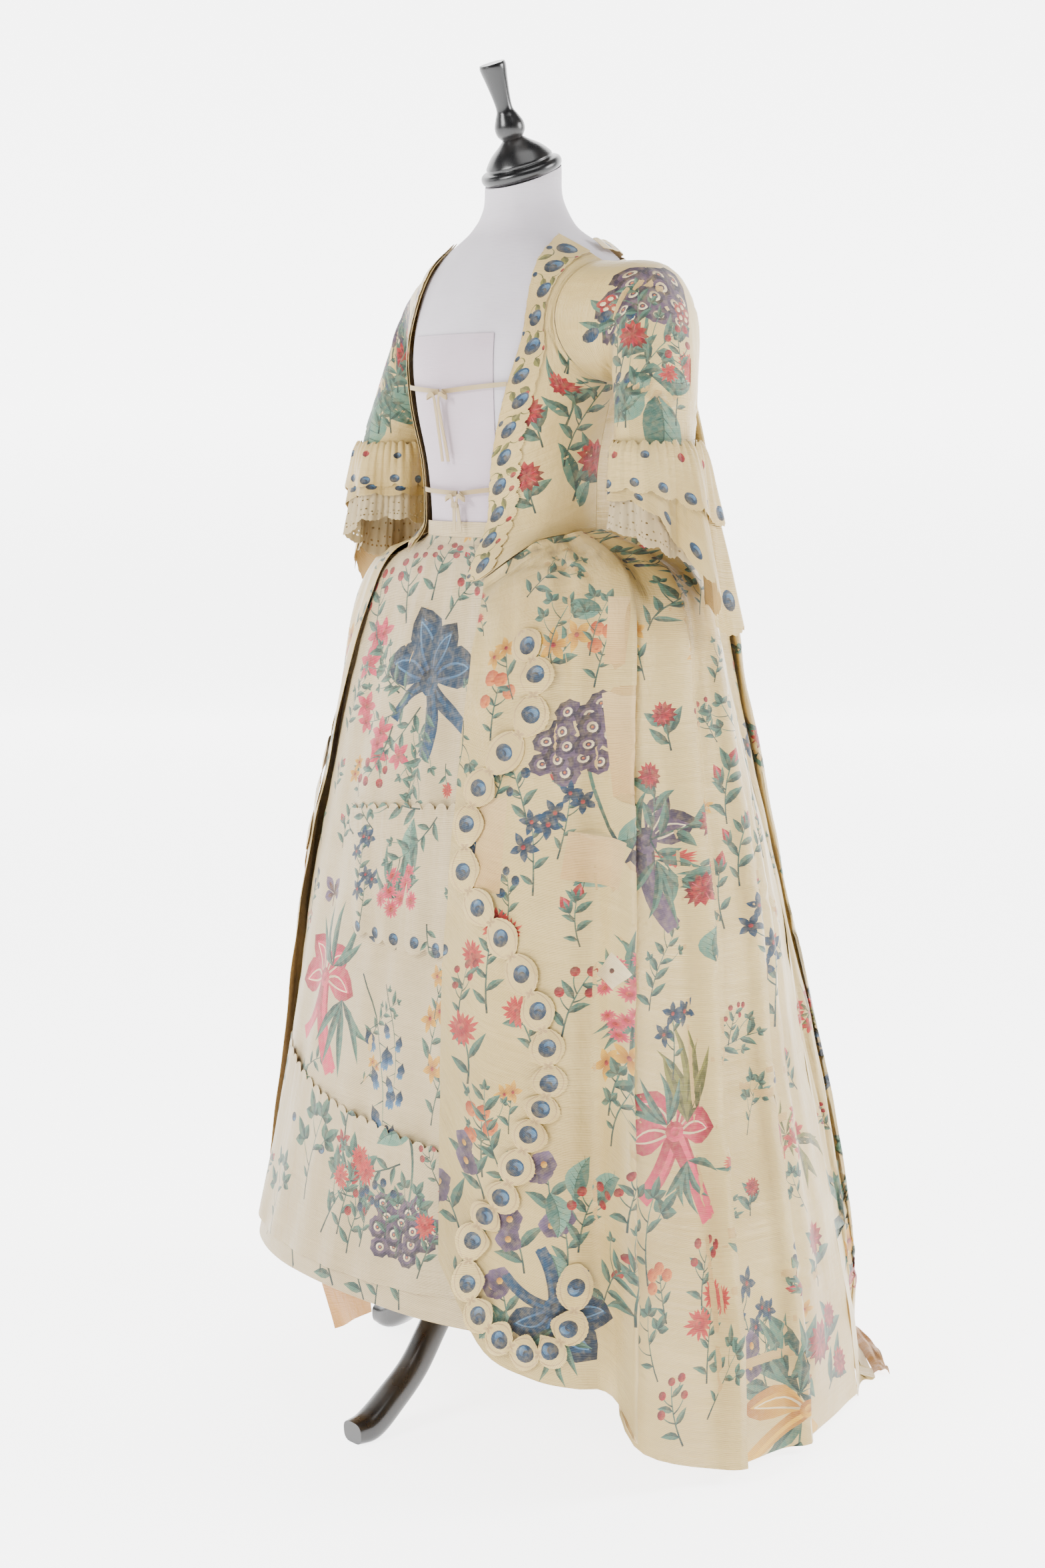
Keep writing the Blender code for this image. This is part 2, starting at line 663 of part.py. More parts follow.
def build_leg(name, bearing, wood):
    """One S-curved leg, its foot flat on the floor."""
    steps = np.linspace(0, len(LEG["step"]) - 1, 10)
    line = np.stack([read(LEG, "out", steps), read(LEG, "z", steps)], -1)
    along = np.gradient(line, axis=0)
    along /= np.linalg.norm(along, axis=1, keepdims=True)
    up = np.stack([-along[:, 1], along[:, 0]], -1)
    tall, wide = read(LEG, "tall", steps), read(LEG, "wide", steps)
    corner = [(sin(a), cos(a)) for a in np.radians(np.arange(22.5, 360, 45))]
    rings = []
    for side, rise in corner:
        point = line + up * (tall * rise * LEG_FLATS)[:, None]
        rings.append(np.stack([side * LEG_FLATS * wide, point[:, 0], point[:, 1]], -1))
    grid = np.stack(rings, 1)
    grid[..., 1] = np.maximum(grid[..., 1], LEG["out"][0])
    grid[..., 2] = np.maximum(grid[..., 2], 0.0)
    turn = radians(bearing)
    x = grid[..., 0] * cos(turn) + grid[..., 1] * sin(turn)
    y = grid[..., 0] * sin(turn) - grid[..., 1] * cos(turn)
    solid_rings(name, np.stack([x, y + AXIS_Y, grid[..., 2]], -1), wood)


# ---- the petticoat -----------------------------------------------------------------------------
def front_grid():
    bearing = np.linspace(-FRONT_HALF, FRONT_HALF, FRONT_COLUMNS)
    b, z = np.meshgrid(bearing, PETTICOAT_ROWS)
    return petticoat(b, z)


def build_petticoat(silk):
    front = front_grid()
    cloth("petticoat_front", front, silk, level_top=True)
    bearing = np.linspace(FRONT_HALF + SEAM_ROOM, 360 - FRONT_HALF - SEAM_ROOM, 11)
    b, z = np.meshgrid(bearing, PETTICOAT_ROWS)
    cloth("petticoat_back", petticoat(b, z), silk, level_top=True)
    b, z = np.meshgrid(np.linspace(0, 360, 28, endpoint=False), (BAND_TOP, BAND_BOTTOM))
    cloth("petticoat_band", petticoat(b, z), silk, closed=True)
    return front


def on_front(x, z):
    """Fractional row and column of the petticoat front's grid at places across and heights."""
    trial = np.linspace(-FRONT_HALF, FRONT_HALF, 385)
    bearing = np.reshape(
        [
            np.interp(xi, petticoat(trial, np.full(385, zi))[:, 0], trial)
            for xi, zi in zip(x.flat, z.flat)
        ],
        x.shape,
    )
    column = (bearing + FRONT_HALF) / (2 * FRONT_HALF) * (FRONT_COLUMNS - 1)
    row = np.interp(-z, -PETTICOAT_ROWS, np.arange(len(PETTICOAT_ROWS)))
    return row, column


def build_petticoat_flounces(front, silk):
    over = outside(front, room=3 * SEAM)
    for name, edge, waves, scallops, columns in (
        ("petticoat_flounce_upper", FLOUNCE_UPPER, 5, 5, 21),
        ("petticoat_flounce_lower", FLOUNCE_LOWER, 7, 0, 29),
    ):
        u, v = np.meshgrid(np.linspace(0, 1, columns), np.linspace(0, 1, 4))
        drop = FLOUNCE_SCALLOP * np.abs(np.sin(pi * scallops * u)) * v if scallops else 0 * u
        x = read(edge, "x_top", u) * (1 - v) + read(edge, "x_low", u) * v
        z = read(edge, "z_top", u) * (1 - v) + read(edge, "z_low", u) * v - drop
        row, column = on_front(x, z)
        out = normals(front)
        lift = FLOUNCE_WAVE * v**0.5 * (1 - np.cos(2 * pi * waves * u)) / 2
        cloth(name, sample(over, row, column) + lift[..., None] * sample(out, row, column), silk)


def build_petticoat_facing(front, facing):
    """The torn facing, sewn inside the front hem, that hangs out below it."""
    u, v = np.meshgrid(np.linspace(0, 1, 5), np.linspace(0, 1, 4))
    x = FACING["x"] + FACING["wide"] * u + FACING["taper"] * v * (1 - u)
    z = FACING["z"] - v * (FACING["deep"] - FACING["rise"] * u)
    held = np.maximum(z, PETTICOAT_HEM + 0.001)
    row, column = on_front(x, held)
    inside = sample(front - (WALL + 2 * SEAM) * normals(front), row, column)
    inside[..., 2] += z - held
    cloth("petticoat_facing", inside, facing)


# ---- the gown ------------------------------------------------------------------------------------
def side_line(v, back):
    """Bearing and height up a bodice panel's outer edge: side seam, then round the armhole."""
    rise = np.clip(v / UNDERARM, 0, 1)
    bearing, z = armhole(180 - 180 * np.clip((v - UNDERARM) / (1 - UNDERARM), 0, 1))
    low = straight(WAIST, "z", ARMHOLE["bearing"])
    z = np.where(v < UNDERARM, low + (ARMHOLE["z"] - ARMHOLE["half_height"] - low) * rise, z)
    bearing = np.where(back, 2 * ARMHOLE["bearing"] - bearing, bearing)
    return bearing, z


def front_panel(side):
    """A bodice front as for the wearer's left, from its front edge to side seam and armhole."""
    v = BODICE_ROWS[:, None]
    z_in = FRONT_POINT + (SHOULDER_Z - FRONT_POINT) * v
    if side == "right":
        z_in = z_in + RIGHT_POINT * (1 - v) ** 3
    b_in = edge_bearing(side, z_in)
    b_out, z_out = side_line(v, False)
    inner = bodice(b_in, z_in)[..., :2]
    reach = ROBING_WIDTH / np.linalg.norm(inner, axis=-1)
    b_robe = np.minimum(b_in + np.degrees(reach), b_in * 0.35 + b_out * 0.65)
    share = (b_robe - b_in) / (b_out - b_in)
    across = np.array([0.0, 0.5, 1.0])
    columns = [b_in + (b_robe - b_in) * a for a in across]
    places = [share * a for a in across]
    for a in np.linspace(0, 1, BODICE_COLUMNS)[1:]:
        columns.append(b_robe + (b_out - b_robe) * a)
        places.append(share + (1 - share) * a)
    b = np.concatenate(columns, 1)
    p = np.concatenate(places, 1)
    z = z_in + (z_out - z_in) * p
    low = straight(WAIST, "z", b)
    z = np.where(v == 0, low, np.maximum(z, low + BODICE_LIFT))
    return bodice(b, z)


def back_panel():
    """The bodice back, from the right side seam round the centre back to the left one."""
    v = BODICE_ROWS[:, None]
    b_out, z_out = side_line(v, True)
    u = np.linspace(1, -1, 13)[None, :]
    middle = straight(WAIST, "z", 180.0) + (BACK_NECK_Z - straight(WAIST, "z", 180.0)) * v
    b = 180 - (180 - b_out - SIDE_ROOM) * u
    return bodice(b, middle + (z_out - middle) * np.abs(u))


def build_bodice(silk):
    for side in ("left", "right"):
        front = front_panel(side)
        right = side == "right"
        cloth("bodice_front_" + side, front, silk, right=right)
        cloth("robing_" + side, robing_on(front), silk, right=right)
    cloth("bodice_back", back_panel(), silk)


def robing_on(front):
    """A scalloped band along a bodice front's edge, on the bodice's own points."""
    rows = np.linspace(0, len(BODICE_ROWS) - 1, 3 * ROBING_SCALLOPS + 1)
    scallop = np.abs(np.sin(pi * ROBING_SCALLOPS * rows / rows[-1]))
    edge = ROBING_EDGE["inside"] + ROBING_EDGE["scallop"] * scallop
    row, share = np.meshgrid(rows, [0.0, 0.5, 1.0], indexing="ij")
    return sample(outside(front), row, share * edge[:, None])


def build_ties(tape):
    """Four tapes that join the bodice's edges over the form in two bows."""
    for name, size in TIES.items():
        for side, sign in (("left", 1), ("right", -1)):
            edge_z = size["z"] + size["edge_rise"]
            edge = edge_bearing(side, edge_z) - TIE_ROOM
            b = size["knot"] * sign + HALF_BOW["across"]
            b[0] = edge
            z = size["z"] - HALF_BOW["drop"] * np.where(HALF_BOW["step"] > 8, size["tail"], 1)
            z[0] = edge_z
            b = np.concatenate([np.linspace(edge, b[1], 4), b[2:]])
            z = np.concatenate([np.linspace(edge_z, z[1], 4), z[2:]])
            out = np.concatenate([[HALF_BOW["out"][0]] * 4, HALF_BOW["out"][2:]])
            turn = np.radians(np.concatenate([[0] * 4, HALF_BOW["turn"][2:]]))[:, None]
            bearing = np.radians(b)
            level = np.stack([np.cos(bearing), np.sin(bearing), 0 * b], -1)
            across = (0, 0, 1) * np.cos(turn) - level * np.sin(turn)
            line = place(b, z, bodice_radius(b, z) + out)
            tape_grid = np.stack([line - across * TIE_WIDTH / 2, line + across * TIE_WIDTH / 2], 1)
            # The end is cut along the bodice's edge.
            z_end = tape_grid[0, :, 2]
            b_end = edge_bearing(side, z_end) - TIE_ROOM
            tape_grid[0] = place(b_end, z_end, bodice_radius(b_end, z_end) + HALF_BOW["out"][0])
            cloth(name + "_" + side, tape_grid, tape, TAPE, right=side == "right")


def build_neck_band(silk):
    """The trimming round the back neck, from robing to robing above the sack."""
    across = np.linspace(NECK_BAND["from"], NECK_BAND["to"], NECK_BAND["columns"])
    b, v = np.meshgrid(across, (0.0, 1.0))
    high = SHOULDER_Z - NECK_BAND["below"]
    high = high + (BACK_NECK_Z - SHOULDER_Z) * np.sin(np.radians(b - 90))
    cloth("neck_band", bodice(b, high - NECK_BAND["wide"] * v, WALL + LAP), silk)


def skirt_top(bearing):
    """Upper edge of the skirts, sewn under the bodice's lower edge."""
    return straight(WAIST, "z", bearing) - WAIST_ROOM


def skirt_columns(side, z_share):
    """Places along a skirt, distances out and laps, column by column, at shares of its height."""
    along, out, lap = [], [], []
    stops = FRONT_STOPS[side]
    for k in range(len(HIP_PLEATS["order"])):
        waist = {name: column[k] for name, column in HIP_PLEATS.items()}
        at = waist[side + "_waist"] + (waist[side + "_hem"] - waist[side + "_waist"]) * z_share
        laps = waist["lap_waist"] + (waist["lap_hem"] - waist["lap_waist"]) * z_share
        rise = waist["rise_waist"] + (waist["rise_hem"] - waist["rise_waist"]) * z_share
        for stop in stops:
            along.append(stop * at)
            out.append(0 * at)
            lap.append(0 * at)
        stops = []
        for step_along, step_out in zip(PLEAT["along"], PLEAT["out"]):
            along.append(at)
            out.append(step_out * rise)
            lap.append(step_along * laps)
    along.append(1 + 0 * z_share)
    out.append(0 * z_share)
    lap.append(0 * z_share)
    return np.stack(along, -1), np.stack(out, -1), np.stack(lap, -1)


def skirt_panel(side):
    """Bearings, heights and distances out of one skirt: flat front, knife pleats, back seam."""
    share = np.concatenate([HIP_ROWS * HIP_SHARE, HIP_SHARE + (1 - HIP_SHARE) * HEM_ROWS])
    along, out, lap = skirt_columns(side, share)
    first = HIP_PLEATS[side + "_hem"][0]
    cloth_at = along[-1:] + lap[-1:] * PLEAT_LAYER
    hem = straight(HEM, "z", np.interp(cloth_at, [0, first, 1], [0, PLEAT_AT_HEM, 1]))
    z = skirt_top(0.0) - share[:, None] + 0 * along
    for _ in range(4):
        start = straight(OPENING, side, z)
        bearing = start + (read(SACK, "seam", z) - SEAM_ROOM - start) * along + lap
        top = skirt_top(bearing)[:1] - PLEAT_DROP * out[:1]
        z = np.concatenate(
            [
                top + (SKIRT_HIP - top) * HIP_ROWS[:, None],
                SKIRT_HIP + (hem - SKIRT_HIP) * HEM_ROWS[:, None],
            ]
        )
    return bearing, z, out


def build_skirts(silk):
    for side in ("left", "right"):
        bearing, z, out = skirt_panel(side)
        grid = gown(bearing, z, out)
        right = side == "right"
        cloth("skirt_" + side, grid, silk, level_top=True, right=right)
        cloth("trim_skirt_" + side, serpent(side, grid, bearing, z), silk, right=right)


def on_skirt(bearing, z, at_bearing, at_z):
    """Rows and columns of the skirt's flat front at these bearings and heights, by turns."""
    column = np.full(at_z.shape, FLAT_COLUMNS - 2.0)
    for _ in range(12):
        low = np.clip(column.astype(int), 0, FLAT_COLUMNS - 2)
        share = column - low
        profile = z[:, low] * (1 - share) + z[:, low + 1] * share
        row = np.array([np.interp(-h, -line, np.arange(len(line))) for h, line in zip(at_z, profile.T)])
        low = np.clip(row.astype(int), 0, len(z) - 2)
        share = (row - low)[:, None]
        profile = bearing[low] * (1 - share) + bearing[low + 1] * share
        steps = np.arange(FLAT_COLUMNS)
        column = np.array(
            [np.interp(b, line, steps) for b, line in zip(at_bearing, profile[:, :FLAT_COLUMNS])]
        )
    return row, column


def serpent(side, grid, bearing, z):
    """A chain of pinked ovals, walked in a winding line down the front of a skirt."""
    oval = np.arange(0, OVALS + 0.25, 0.5)
    path_z = read(SERPENT, "z", oval)
    path_b = straight(OPENING, side, path_z) + read(SERPENT, "off", oval) * SERPENT_REACH[side]
    reach = skirt_radius(path_b, path_z)
    across = np.stack([np.radians(path_b) * reach, path_z], -1)
    run = np.gradient(across, axis=0)
    run /= np.linalg.norm(run, axis=1, keepdims=True)
    wide = OVAL_NARROW + (OVAL_WIDE - OVAL_NARROW) * np.sin(pi * oval) ** 2
    rows, columns = [], []
    for edge in (-1, 0, 1):
        b = path_b + np.degrees(run[:, 1] * edge * wide / reach)
        row, column = on_skirt(bearing, z, b, path_z - run[:, 0] * edge * wide)
        rows.append(row)
        columns.append(column)
    # It stands off the skirt, and is sewn down at its upper end.
    room = np.full((len(oval), 1, 1), TRIM_ROOM[side])
    room[0] = TRIM_SEAM
    at = np.stack(rows, 1), np.stack(columns, 1)
    return sample(outside(grid, room=0), *at) + room * sample(normals(grid), *at)


def sack_rows():
    """Heights down the sack; below the waist they are those of the skirts' back edges."""
    top = skirt_top(180.0)
    hem = HEM["z"][-1]
    hip = top + (SKIRT_HIP - top) * HIP_ROWS
    low = SKIRT_HIP + (hem - SKIRT_HIP) * HEM_ROWS[:-1]
    return np.concatenate([SACK_FREE_ROWS, hip, low, [SACK_LOWEST]])


def arch(z, s, level):
    """Points at shares s of the sack's half width, this far out of its bowed section."""
    half, middle, edge = (read(SACK, key, z) for key in ("half", "middle", "edge"))
    slope = -2 * (middle - edge) * s / half
    n = np.sqrt(1 + slope**2)
    return np.stack(
        [half * s - slope / n * level, middle - (middle - edge) * s**2 + level / n, z + 0 * s], -1
    )


def sack_half():
    """Half the sack's grid, from the centre back out to the wearer's left seam."""
    z = sack_rows()[:, None]
    folded = read(SACK, "fold", z)
    s = BOX_PLEAT["folded"] * folded + BOX_PLEAT["let_out"] * (1 - folded)
    level = BOX_PLEAT["layer"] * folded + BOX_PLEAT["level"] * (1 - folded)
    pleats = arch(z, s, level * read(SACK, "layer", z))
    bearing = read(SACK, "seam", z) + np.array([[JOIN_WIDE, 0.0]])
    z = z + 0 * bearing
    out = np.where(z > skirt_top(180.0) - SEAM, WALL + JOIN_OUT, 0.0)
    joined = bodice(bearing, z, out)
    grid = np.concatenate([pleats, joined], 1)
    # The hem turns out on to the floor round a plain bowed line.
    flat = floor_line(grid[-1:, -2:], TRAIN_SPREAD)
    turned = grid[-1:] + (flat - grid[-1:]) * HEM_TURN["share"]
    turned[..., 2] = HEM_TURN["z"]
    return np.concatenate([grid, turned, flat])


def floor_line(joined, spread):
    """The train's edge on the floor, this far out; the last two points are the joined ones."""
    line = arch(np.full((1, 1), HEM_FLOOR), BOX_PLEAT["let_out"][None], HEM_OUT + spread)
    scale = 1 + spread * HEM_GROWS
    line = np.concatenate([line, joined * (scale, scale, 1)], 1)
    line[..., 2] = FLOOR_ROOM
    return line


def build_sack(silk, facing):
    half = sack_half()
    cloth("back_sack", whole(half), silk)
    # The torn facing lies crumpled on the floor, out from under the hem.
    joined = half[-3:-2, -2:]
    near = floor_line(joined, TRAIN_SPREAD + 3 * SEAM)[:, :-3]
    far = floor_line(joined, TRAIN_SPREAD + FACING_SPREAD)[:, :-3]
    far[..., 2] += FACING_CRUMPLE * (np.arange(far.shape[1]) % 2)
    cloth("train_hem_facing", whole(np.concatenate([near, far])), facing)


def whole(half):
    """Both halves of a grid that starts at the centre back, from the right round to the left."""
    return np.concatenate([half[:, :0:-1], half * (-1, 1, 1)], 1)


def sleeve_rings():
    """Rings from the armhole down to the cuff, each starting at the top of the arm."""
    turn = np.linspace(0, 360, SLEEVE_SIDES, endpoint=False)
    a = np.radians(turn)
    bearing, z = armhole(turn)
    first = bodice(bearing, z, WALL + LAP)
    rings = [first]
    for k in range(len(SLEEVE["row"])):
        out = np.array([SLEEVE["out_x"][k], SLEEVE["y"][k], SLEEVE["out_z"][k]])
        inner = np.array([SLEEVE["in_x"][k], SLEEVE["y"][k], SLEEVE["in_z"][k]])
        middle, reach = (out + inner) / 2, (out - inner) / 2
        front = np.array([0.0, -SLEEVE["deep"][k], 0.0])
        rings.append(middle + np.outer(np.cos(a), reach) + np.outer(np.sin(a), front))
    return np.stack(rings)


def build_sleeves(silk):
    rings = sleeve_rings()[:, ::-1]
    cloth("sleeve_left", rings, silk, closed=True)
    cloth("sleeve_right", rings, silk, closed=True, right=True)


def frill(top, short, long, close, room, scallops):
    """A gathered frill round the lower sleeve, longest at the back of the elbow."""
    turn = np.linspace(0, 2 * pi, 4 * RUFFLE_WAVES, endpoint=False)
    back = (1 + np.cos(turn - LONG_AT)) / 2
    length = short + (long - short) * back**close
    if scallops:
        length = length + FRILL_SCALLOP * (np.abs(np.sin(scallops * turn / 2)) - 0.6)
    drop = FRILL_ROWS[:, None] * length
    k = len(SLEEVE["row"]) - 1
    middle = (SLEEVE["out_x"][k] + SLEEVE["in_x"][k]) / 2
    half = (SLEEVE["out_x"][k] - SLEEVE["in_x"][k]) / 2
    spread = room + drop * (FRILL_FLARE + FRILL_WAVE * np.cos(RUFFLE_WAVES * turn))
    x = middle + (half + spread) * np.cos(turn) + FRILL_LEAN * drop
    y = SLEEVE["y"][k] + FRILL_BACK - (SLEEVE["deep"][k] + spread) * np.sin(turn)
    return np.stack([x, y, top - drop], -1)


def build_frills(silk, muslin):
    for k, name in enumerate(FRILL_NAMES):
        finish, thick = (muslin, TAPE) if name == "lace_ruffle" else (silk, WALL)
        grid = frill(*(FRILLS[key][k] for key in list(FRILLS)[1:]))[:, ::-1]
        cloth(name + "_left", grid, finish, thick, closed=True)
        cloth(name + "_right", grid, finish, thick, closed=True, right=True)


def main():
    clear_scene()
    figure = bpy.data.objects.new("figure", None)
    figure.location = (0, BACK_SHIFT, 0)
    bpy.context.collection.objects.link(figure)
    silk = material("painted_silk", (0.78, 0.70, 0.54), 0.45)
    matching = material("petticoat_silk", (0.72, 0.65, 0.51), 0.5)
    facing = material("silk_facing", (0.52, 0.33, 0.12), 0.6)
    muslin = material("muslin", (0.80, 0.76, 0.68), 0.8)
    cover = material("form_cover", (0.72, 0.72, 0.74), 0.85)
    wood = material("black_wood", (0.010, 0.010, 0.011), 0.25)
    build_form(cover, wood)
    build_stand(wood)
    front = build_petticoat(matching)
    build_petticoat_flounces(front, matching)
    build_petticoat_facing(front, facing)
    build_bodice(silk)
    build_ties(muslin)
    build_neck_band(silk)
    build_skirts(silk)
    build_sack(silk, facing)
    build_sleeves(silk)
    build_frills(silk, muslin)


main()
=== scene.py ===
# %% [markdown]
# # A robe a la francaise on its dress form
#
# The real gown is ivory silk, painted by hand with sprays of flowers. Its back is laid in box
# pleats at the neck and falls loose to a short train, its skirts part over a petticoat of the
# same silk, and a winding band of pinked ovals trims it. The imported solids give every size.
# This lesson dresses them: it repeats the figure's sections, works each piece of cloth out as
# a smooth sheet through them, and then cuts, creases and paints the sheets.

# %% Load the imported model, which stays fixed
from math import cos, pi, radians, sin, tan

import bpy
import numpy as np
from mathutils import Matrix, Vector
from mathutils.geometry import delaunay_2d_cdt


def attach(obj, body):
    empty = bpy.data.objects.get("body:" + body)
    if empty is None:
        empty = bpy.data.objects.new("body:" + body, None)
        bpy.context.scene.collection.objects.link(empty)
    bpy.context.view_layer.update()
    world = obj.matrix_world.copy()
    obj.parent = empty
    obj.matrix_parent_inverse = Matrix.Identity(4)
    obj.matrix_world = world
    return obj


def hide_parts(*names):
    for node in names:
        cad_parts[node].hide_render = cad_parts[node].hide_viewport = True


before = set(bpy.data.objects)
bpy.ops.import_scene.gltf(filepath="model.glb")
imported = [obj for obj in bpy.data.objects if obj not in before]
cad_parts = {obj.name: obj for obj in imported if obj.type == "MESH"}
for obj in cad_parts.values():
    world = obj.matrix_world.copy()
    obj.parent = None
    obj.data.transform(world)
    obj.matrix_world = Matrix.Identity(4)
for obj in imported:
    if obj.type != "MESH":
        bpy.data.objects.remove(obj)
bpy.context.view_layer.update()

# %% [markdown]
# ## The camera, the floor and the light
#
# A camera comes first, because everything is looked at through it. A gown is photographed from
# the height of its own chest, a little turned, with a lens long enough to keep the floor from
# running away. The light is the plain soft light of a studio: one broad panel before the gown,
# one on each side and one behind, and a floor that turns up into the wall without a corner.

# %% Camera
AXIS_Y = -0.040             # the body's upright axis in the figure's own frame
BACK_SHIFT = -0.072         # and how far the figure stands from the part's origin
CAMERA_TURN = radians(46)   # round to the wearer's left of straight before the gown
CAMERA_HEIGHT = 1.30
CAMERA_AWAY = 3.20
CAMERA_TILT = radians(8.1)

camera = bpy.data.objects.new("camera", bpy.data.cameras.new("camera"))
bpy.context.scene.collection.objects.link(camera)
camera.location = (
    CAMERA_AWAY * sin(CAMERA_TURN),
    BACK_SHIFT - CAMERA_AWAY * cos(CAMERA_TURN),
    CAMERA_HEIGHT,
)
camera.rotation_euler = (pi / 2 - CAMERA_TILT, 0, CAMERA_TURN)
camera.data.lens = 54.0
camera.data.shift_x = -0.01446
bpy.context.scene.camera = camera


# %% Small helper for meshes
def linked(name, mesh, finishes=()):
    """A new object of this mesh and its finishes, at the origin."""
    for finish in finishes:
        mesh.materials.append(finish)
    made = bpy.data.objects.new(name, mesh)
    bpy.context.scene.collection.objects.link(made)
    return made


# %% Floor and lights
SWEEP_NEAR, SWEEP_FAR = -9.0, 8.0    # depths at which the floor starts and starts to bend
SWEEP_BEND, SWEEP_HIGH, SWEEP_HALF = 1.5, 12.0, 16.0


def sweep():
    """A floor that rises into a wall: z = 0 to the bend, then a quarter circle, then straight up."""
    turn = np.linspace(0, pi / 2, 13)
    bent = SWEEP_FAR + SWEEP_BEND * np.sin(turn)
    depth = np.concatenate([[SWEEP_NEAR], bent, [SWEEP_FAR + SWEEP_BEND]])
    rise = np.concatenate([[0.0], SWEEP_BEND * (1 - np.cos(turn)), [SWEEP_HIGH]])
    x, k = np.meshgrid((-SWEEP_HALF, 0.0, SWEEP_HALF), np.arange(len(depth)))
    line = np.stack([x, depth[k], rise[k]], -1)
    turned = np.array([[cos(CAMERA_TURN), sin(CAMERA_TURN)], [-sin(CAMERA_TURN), cos(CAMERA_TURN)]])
    line[..., :2] = line[..., :2] @ turned
    cell = np.arange(line[..., 0].size).reshape(x.shape)
    faces = np.stack([cell[:-1, :-1], cell[:-1, 1:], cell[1:, 1:], cell[1:, :-1]], -1)
    mesh = bpy.data.meshes.new("floor")
    mesh.from_pydata(line.reshape(-1, 3).tolist(), [], faces.reshape(-1, 4).tolist())
    mesh.shade_smooth()
    return linked("floor", mesh)


floor = sweep()

LIGHTS = (
    # name, bearing from the camera in degrees, height, distance, size, watts
    ("light_front", -52, 2.9, 3.8, 1.5, 205.0),
    ("light_left", -105, 2.2, 3.6, 2.0, 40.0),
    ("light_right", 84, 2.4, 3.4, 1.4, 170.0),
    ("light_above", 10, 4.6, 1.6, 2.4, 80.0),
)
for name, bearing, height, away, size, watts in LIGHTS:
    lamp = bpy.data.objects.new(name, bpy.data.lights.new(name, "AREA"))
    bpy.context.scene.collection.objects.link(lamp)
    turn = CAMERA_TURN + radians(bearing)
    lamp.location = away * sin(turn), BACK_SHIFT - away * cos(turn), height
    aim = Vector((0, BACK_SHIFT, 0.95)) - lamp.location
    lamp.rotation_euler = aim.to_track_quat("-Z", "Y").to_euler()
    lamp.data.energy = watts
    lamp.data.size = size
world = bpy.data.worlds.new("studio")
bpy.context.scene.world = world
world.use_nodes = True
sky = world.node_tree.nodes["Background"].inputs
sky["Color"].default_value, sky["Strength"].default_value = (1.0, 1.0, 1.0, 1.0), 0.05
print("camera at", np.round(camera.location, 2), "with", len(LIGHTS), "lights")

# %% [markdown]
# ## Writing a finish as an expression
#
# A finish is a tree of nodes. The class below holds one output socket, so that `1 - mask * 0.3`
# adds the Math nodes it needs, and `Finish.node` makes every other kind: it sets the node's
# settings first, then fills its inputs with values or with other sockets.

# %% Sockets and finishes
class Socket:
    """One output of a node; arithmetic on it adds Math nodes."""

    def __init__(self, finish, output):
        self.finish, self.output = finish, output

    def math(self, operation, *values):
        return self.finish.node("ShaderNodeMath", {"operation": operation}, dict(enumerate(values)))

    def __add__(self, other):
        return self.math("ADD", self, other)

    def __sub__(self, other):
        return self.math("SUBTRACT", self, other)

    def __rsub__(self, other):
        return self.math("SUBTRACT", other, self)

    def __mul__(self, other):
        return self.math("MULTIPLY", self, other)

    __radd__ = __add__
    __rmul__ = __mul__


class Finish:
    """A material whose look is written with node() and mix()."""

    def __init__(self, name, **constants):
        self.material = bpy.data.materials.new(name)
        self.material.use_nodes = True
        self.tree = self.material.node_tree
        self.shader = self.tree.nodes["Principled BSDF"]
        self.set(**constants)

    def set(self, **values):
        """Principled inputs by name, with _ for a space."""
        for name, value in values.items():
            self.fill(self.shader.inputs[name.replace("_", " ").title()], value)

    def fill(self, socket, value):
        if isinstance(value, Socket):
            self.tree.links.new(value.output, socket)
        else:
            socket.default_value = (*value, 1.0) if np.ndim(value) and socket.type == "RGBA" else value

    def node(self, kind, settings=None, values=None, output=0):
        """Any node: its settings first, then its inputs; the socket is the output asked for."""
        made = self.tree.nodes.new(kind)
        for name, value in (settings or {}).items():
            setattr(made, name, value)
        for name, value in (values or {}).items():
            self.fill(made.inputs[name], value)
        return Socket(self, made.outputs[output])

    def mix(self, share, first, second, blend="MIX"):
        """A colour between two others."""
        settings = {"data_type": "RGBA", "blend_type": blend}
        return self.node("ShaderNodeMix", settings, {0: share, 6: first, 7: second}, 2)

    def ramp(self, value, low, high):
        """0 below low, 1 above high and a smooth step between them."""
        return self.node(
            "ShaderNodeMapRange",
            {"interpolation_type": "SMOOTHSTEP"},
            {"Value": value, "From Min": low, "From Max": high},
        )

    def bump(self, height, distance, strength=1.0):
        values = {"Height": height, "Distance": distance, "Strength": strength}
        self.set(normal=self.node("ShaderNodeBump", None, values))


def ink(red, green, blue):
    """A colour in linear light, from its 0 to 255 values on a screen."""
    c = np.array([red, green, blue]) / 255
    return tuple(float(v) for v in np.where(c > 0.04045, ((c + 0.055) / 1.055) ** 2.4, c / 12.92))


# %% [markdown]
# ## The figure's sections
#
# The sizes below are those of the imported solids. Round the body, bearings are in degrees: 0 is
# the front, 90 the wearer's left and 180 the back. Each table has a row for a height, and is
# read between its rows by smooth cubic pieces, so a few sections give a whole skirt.

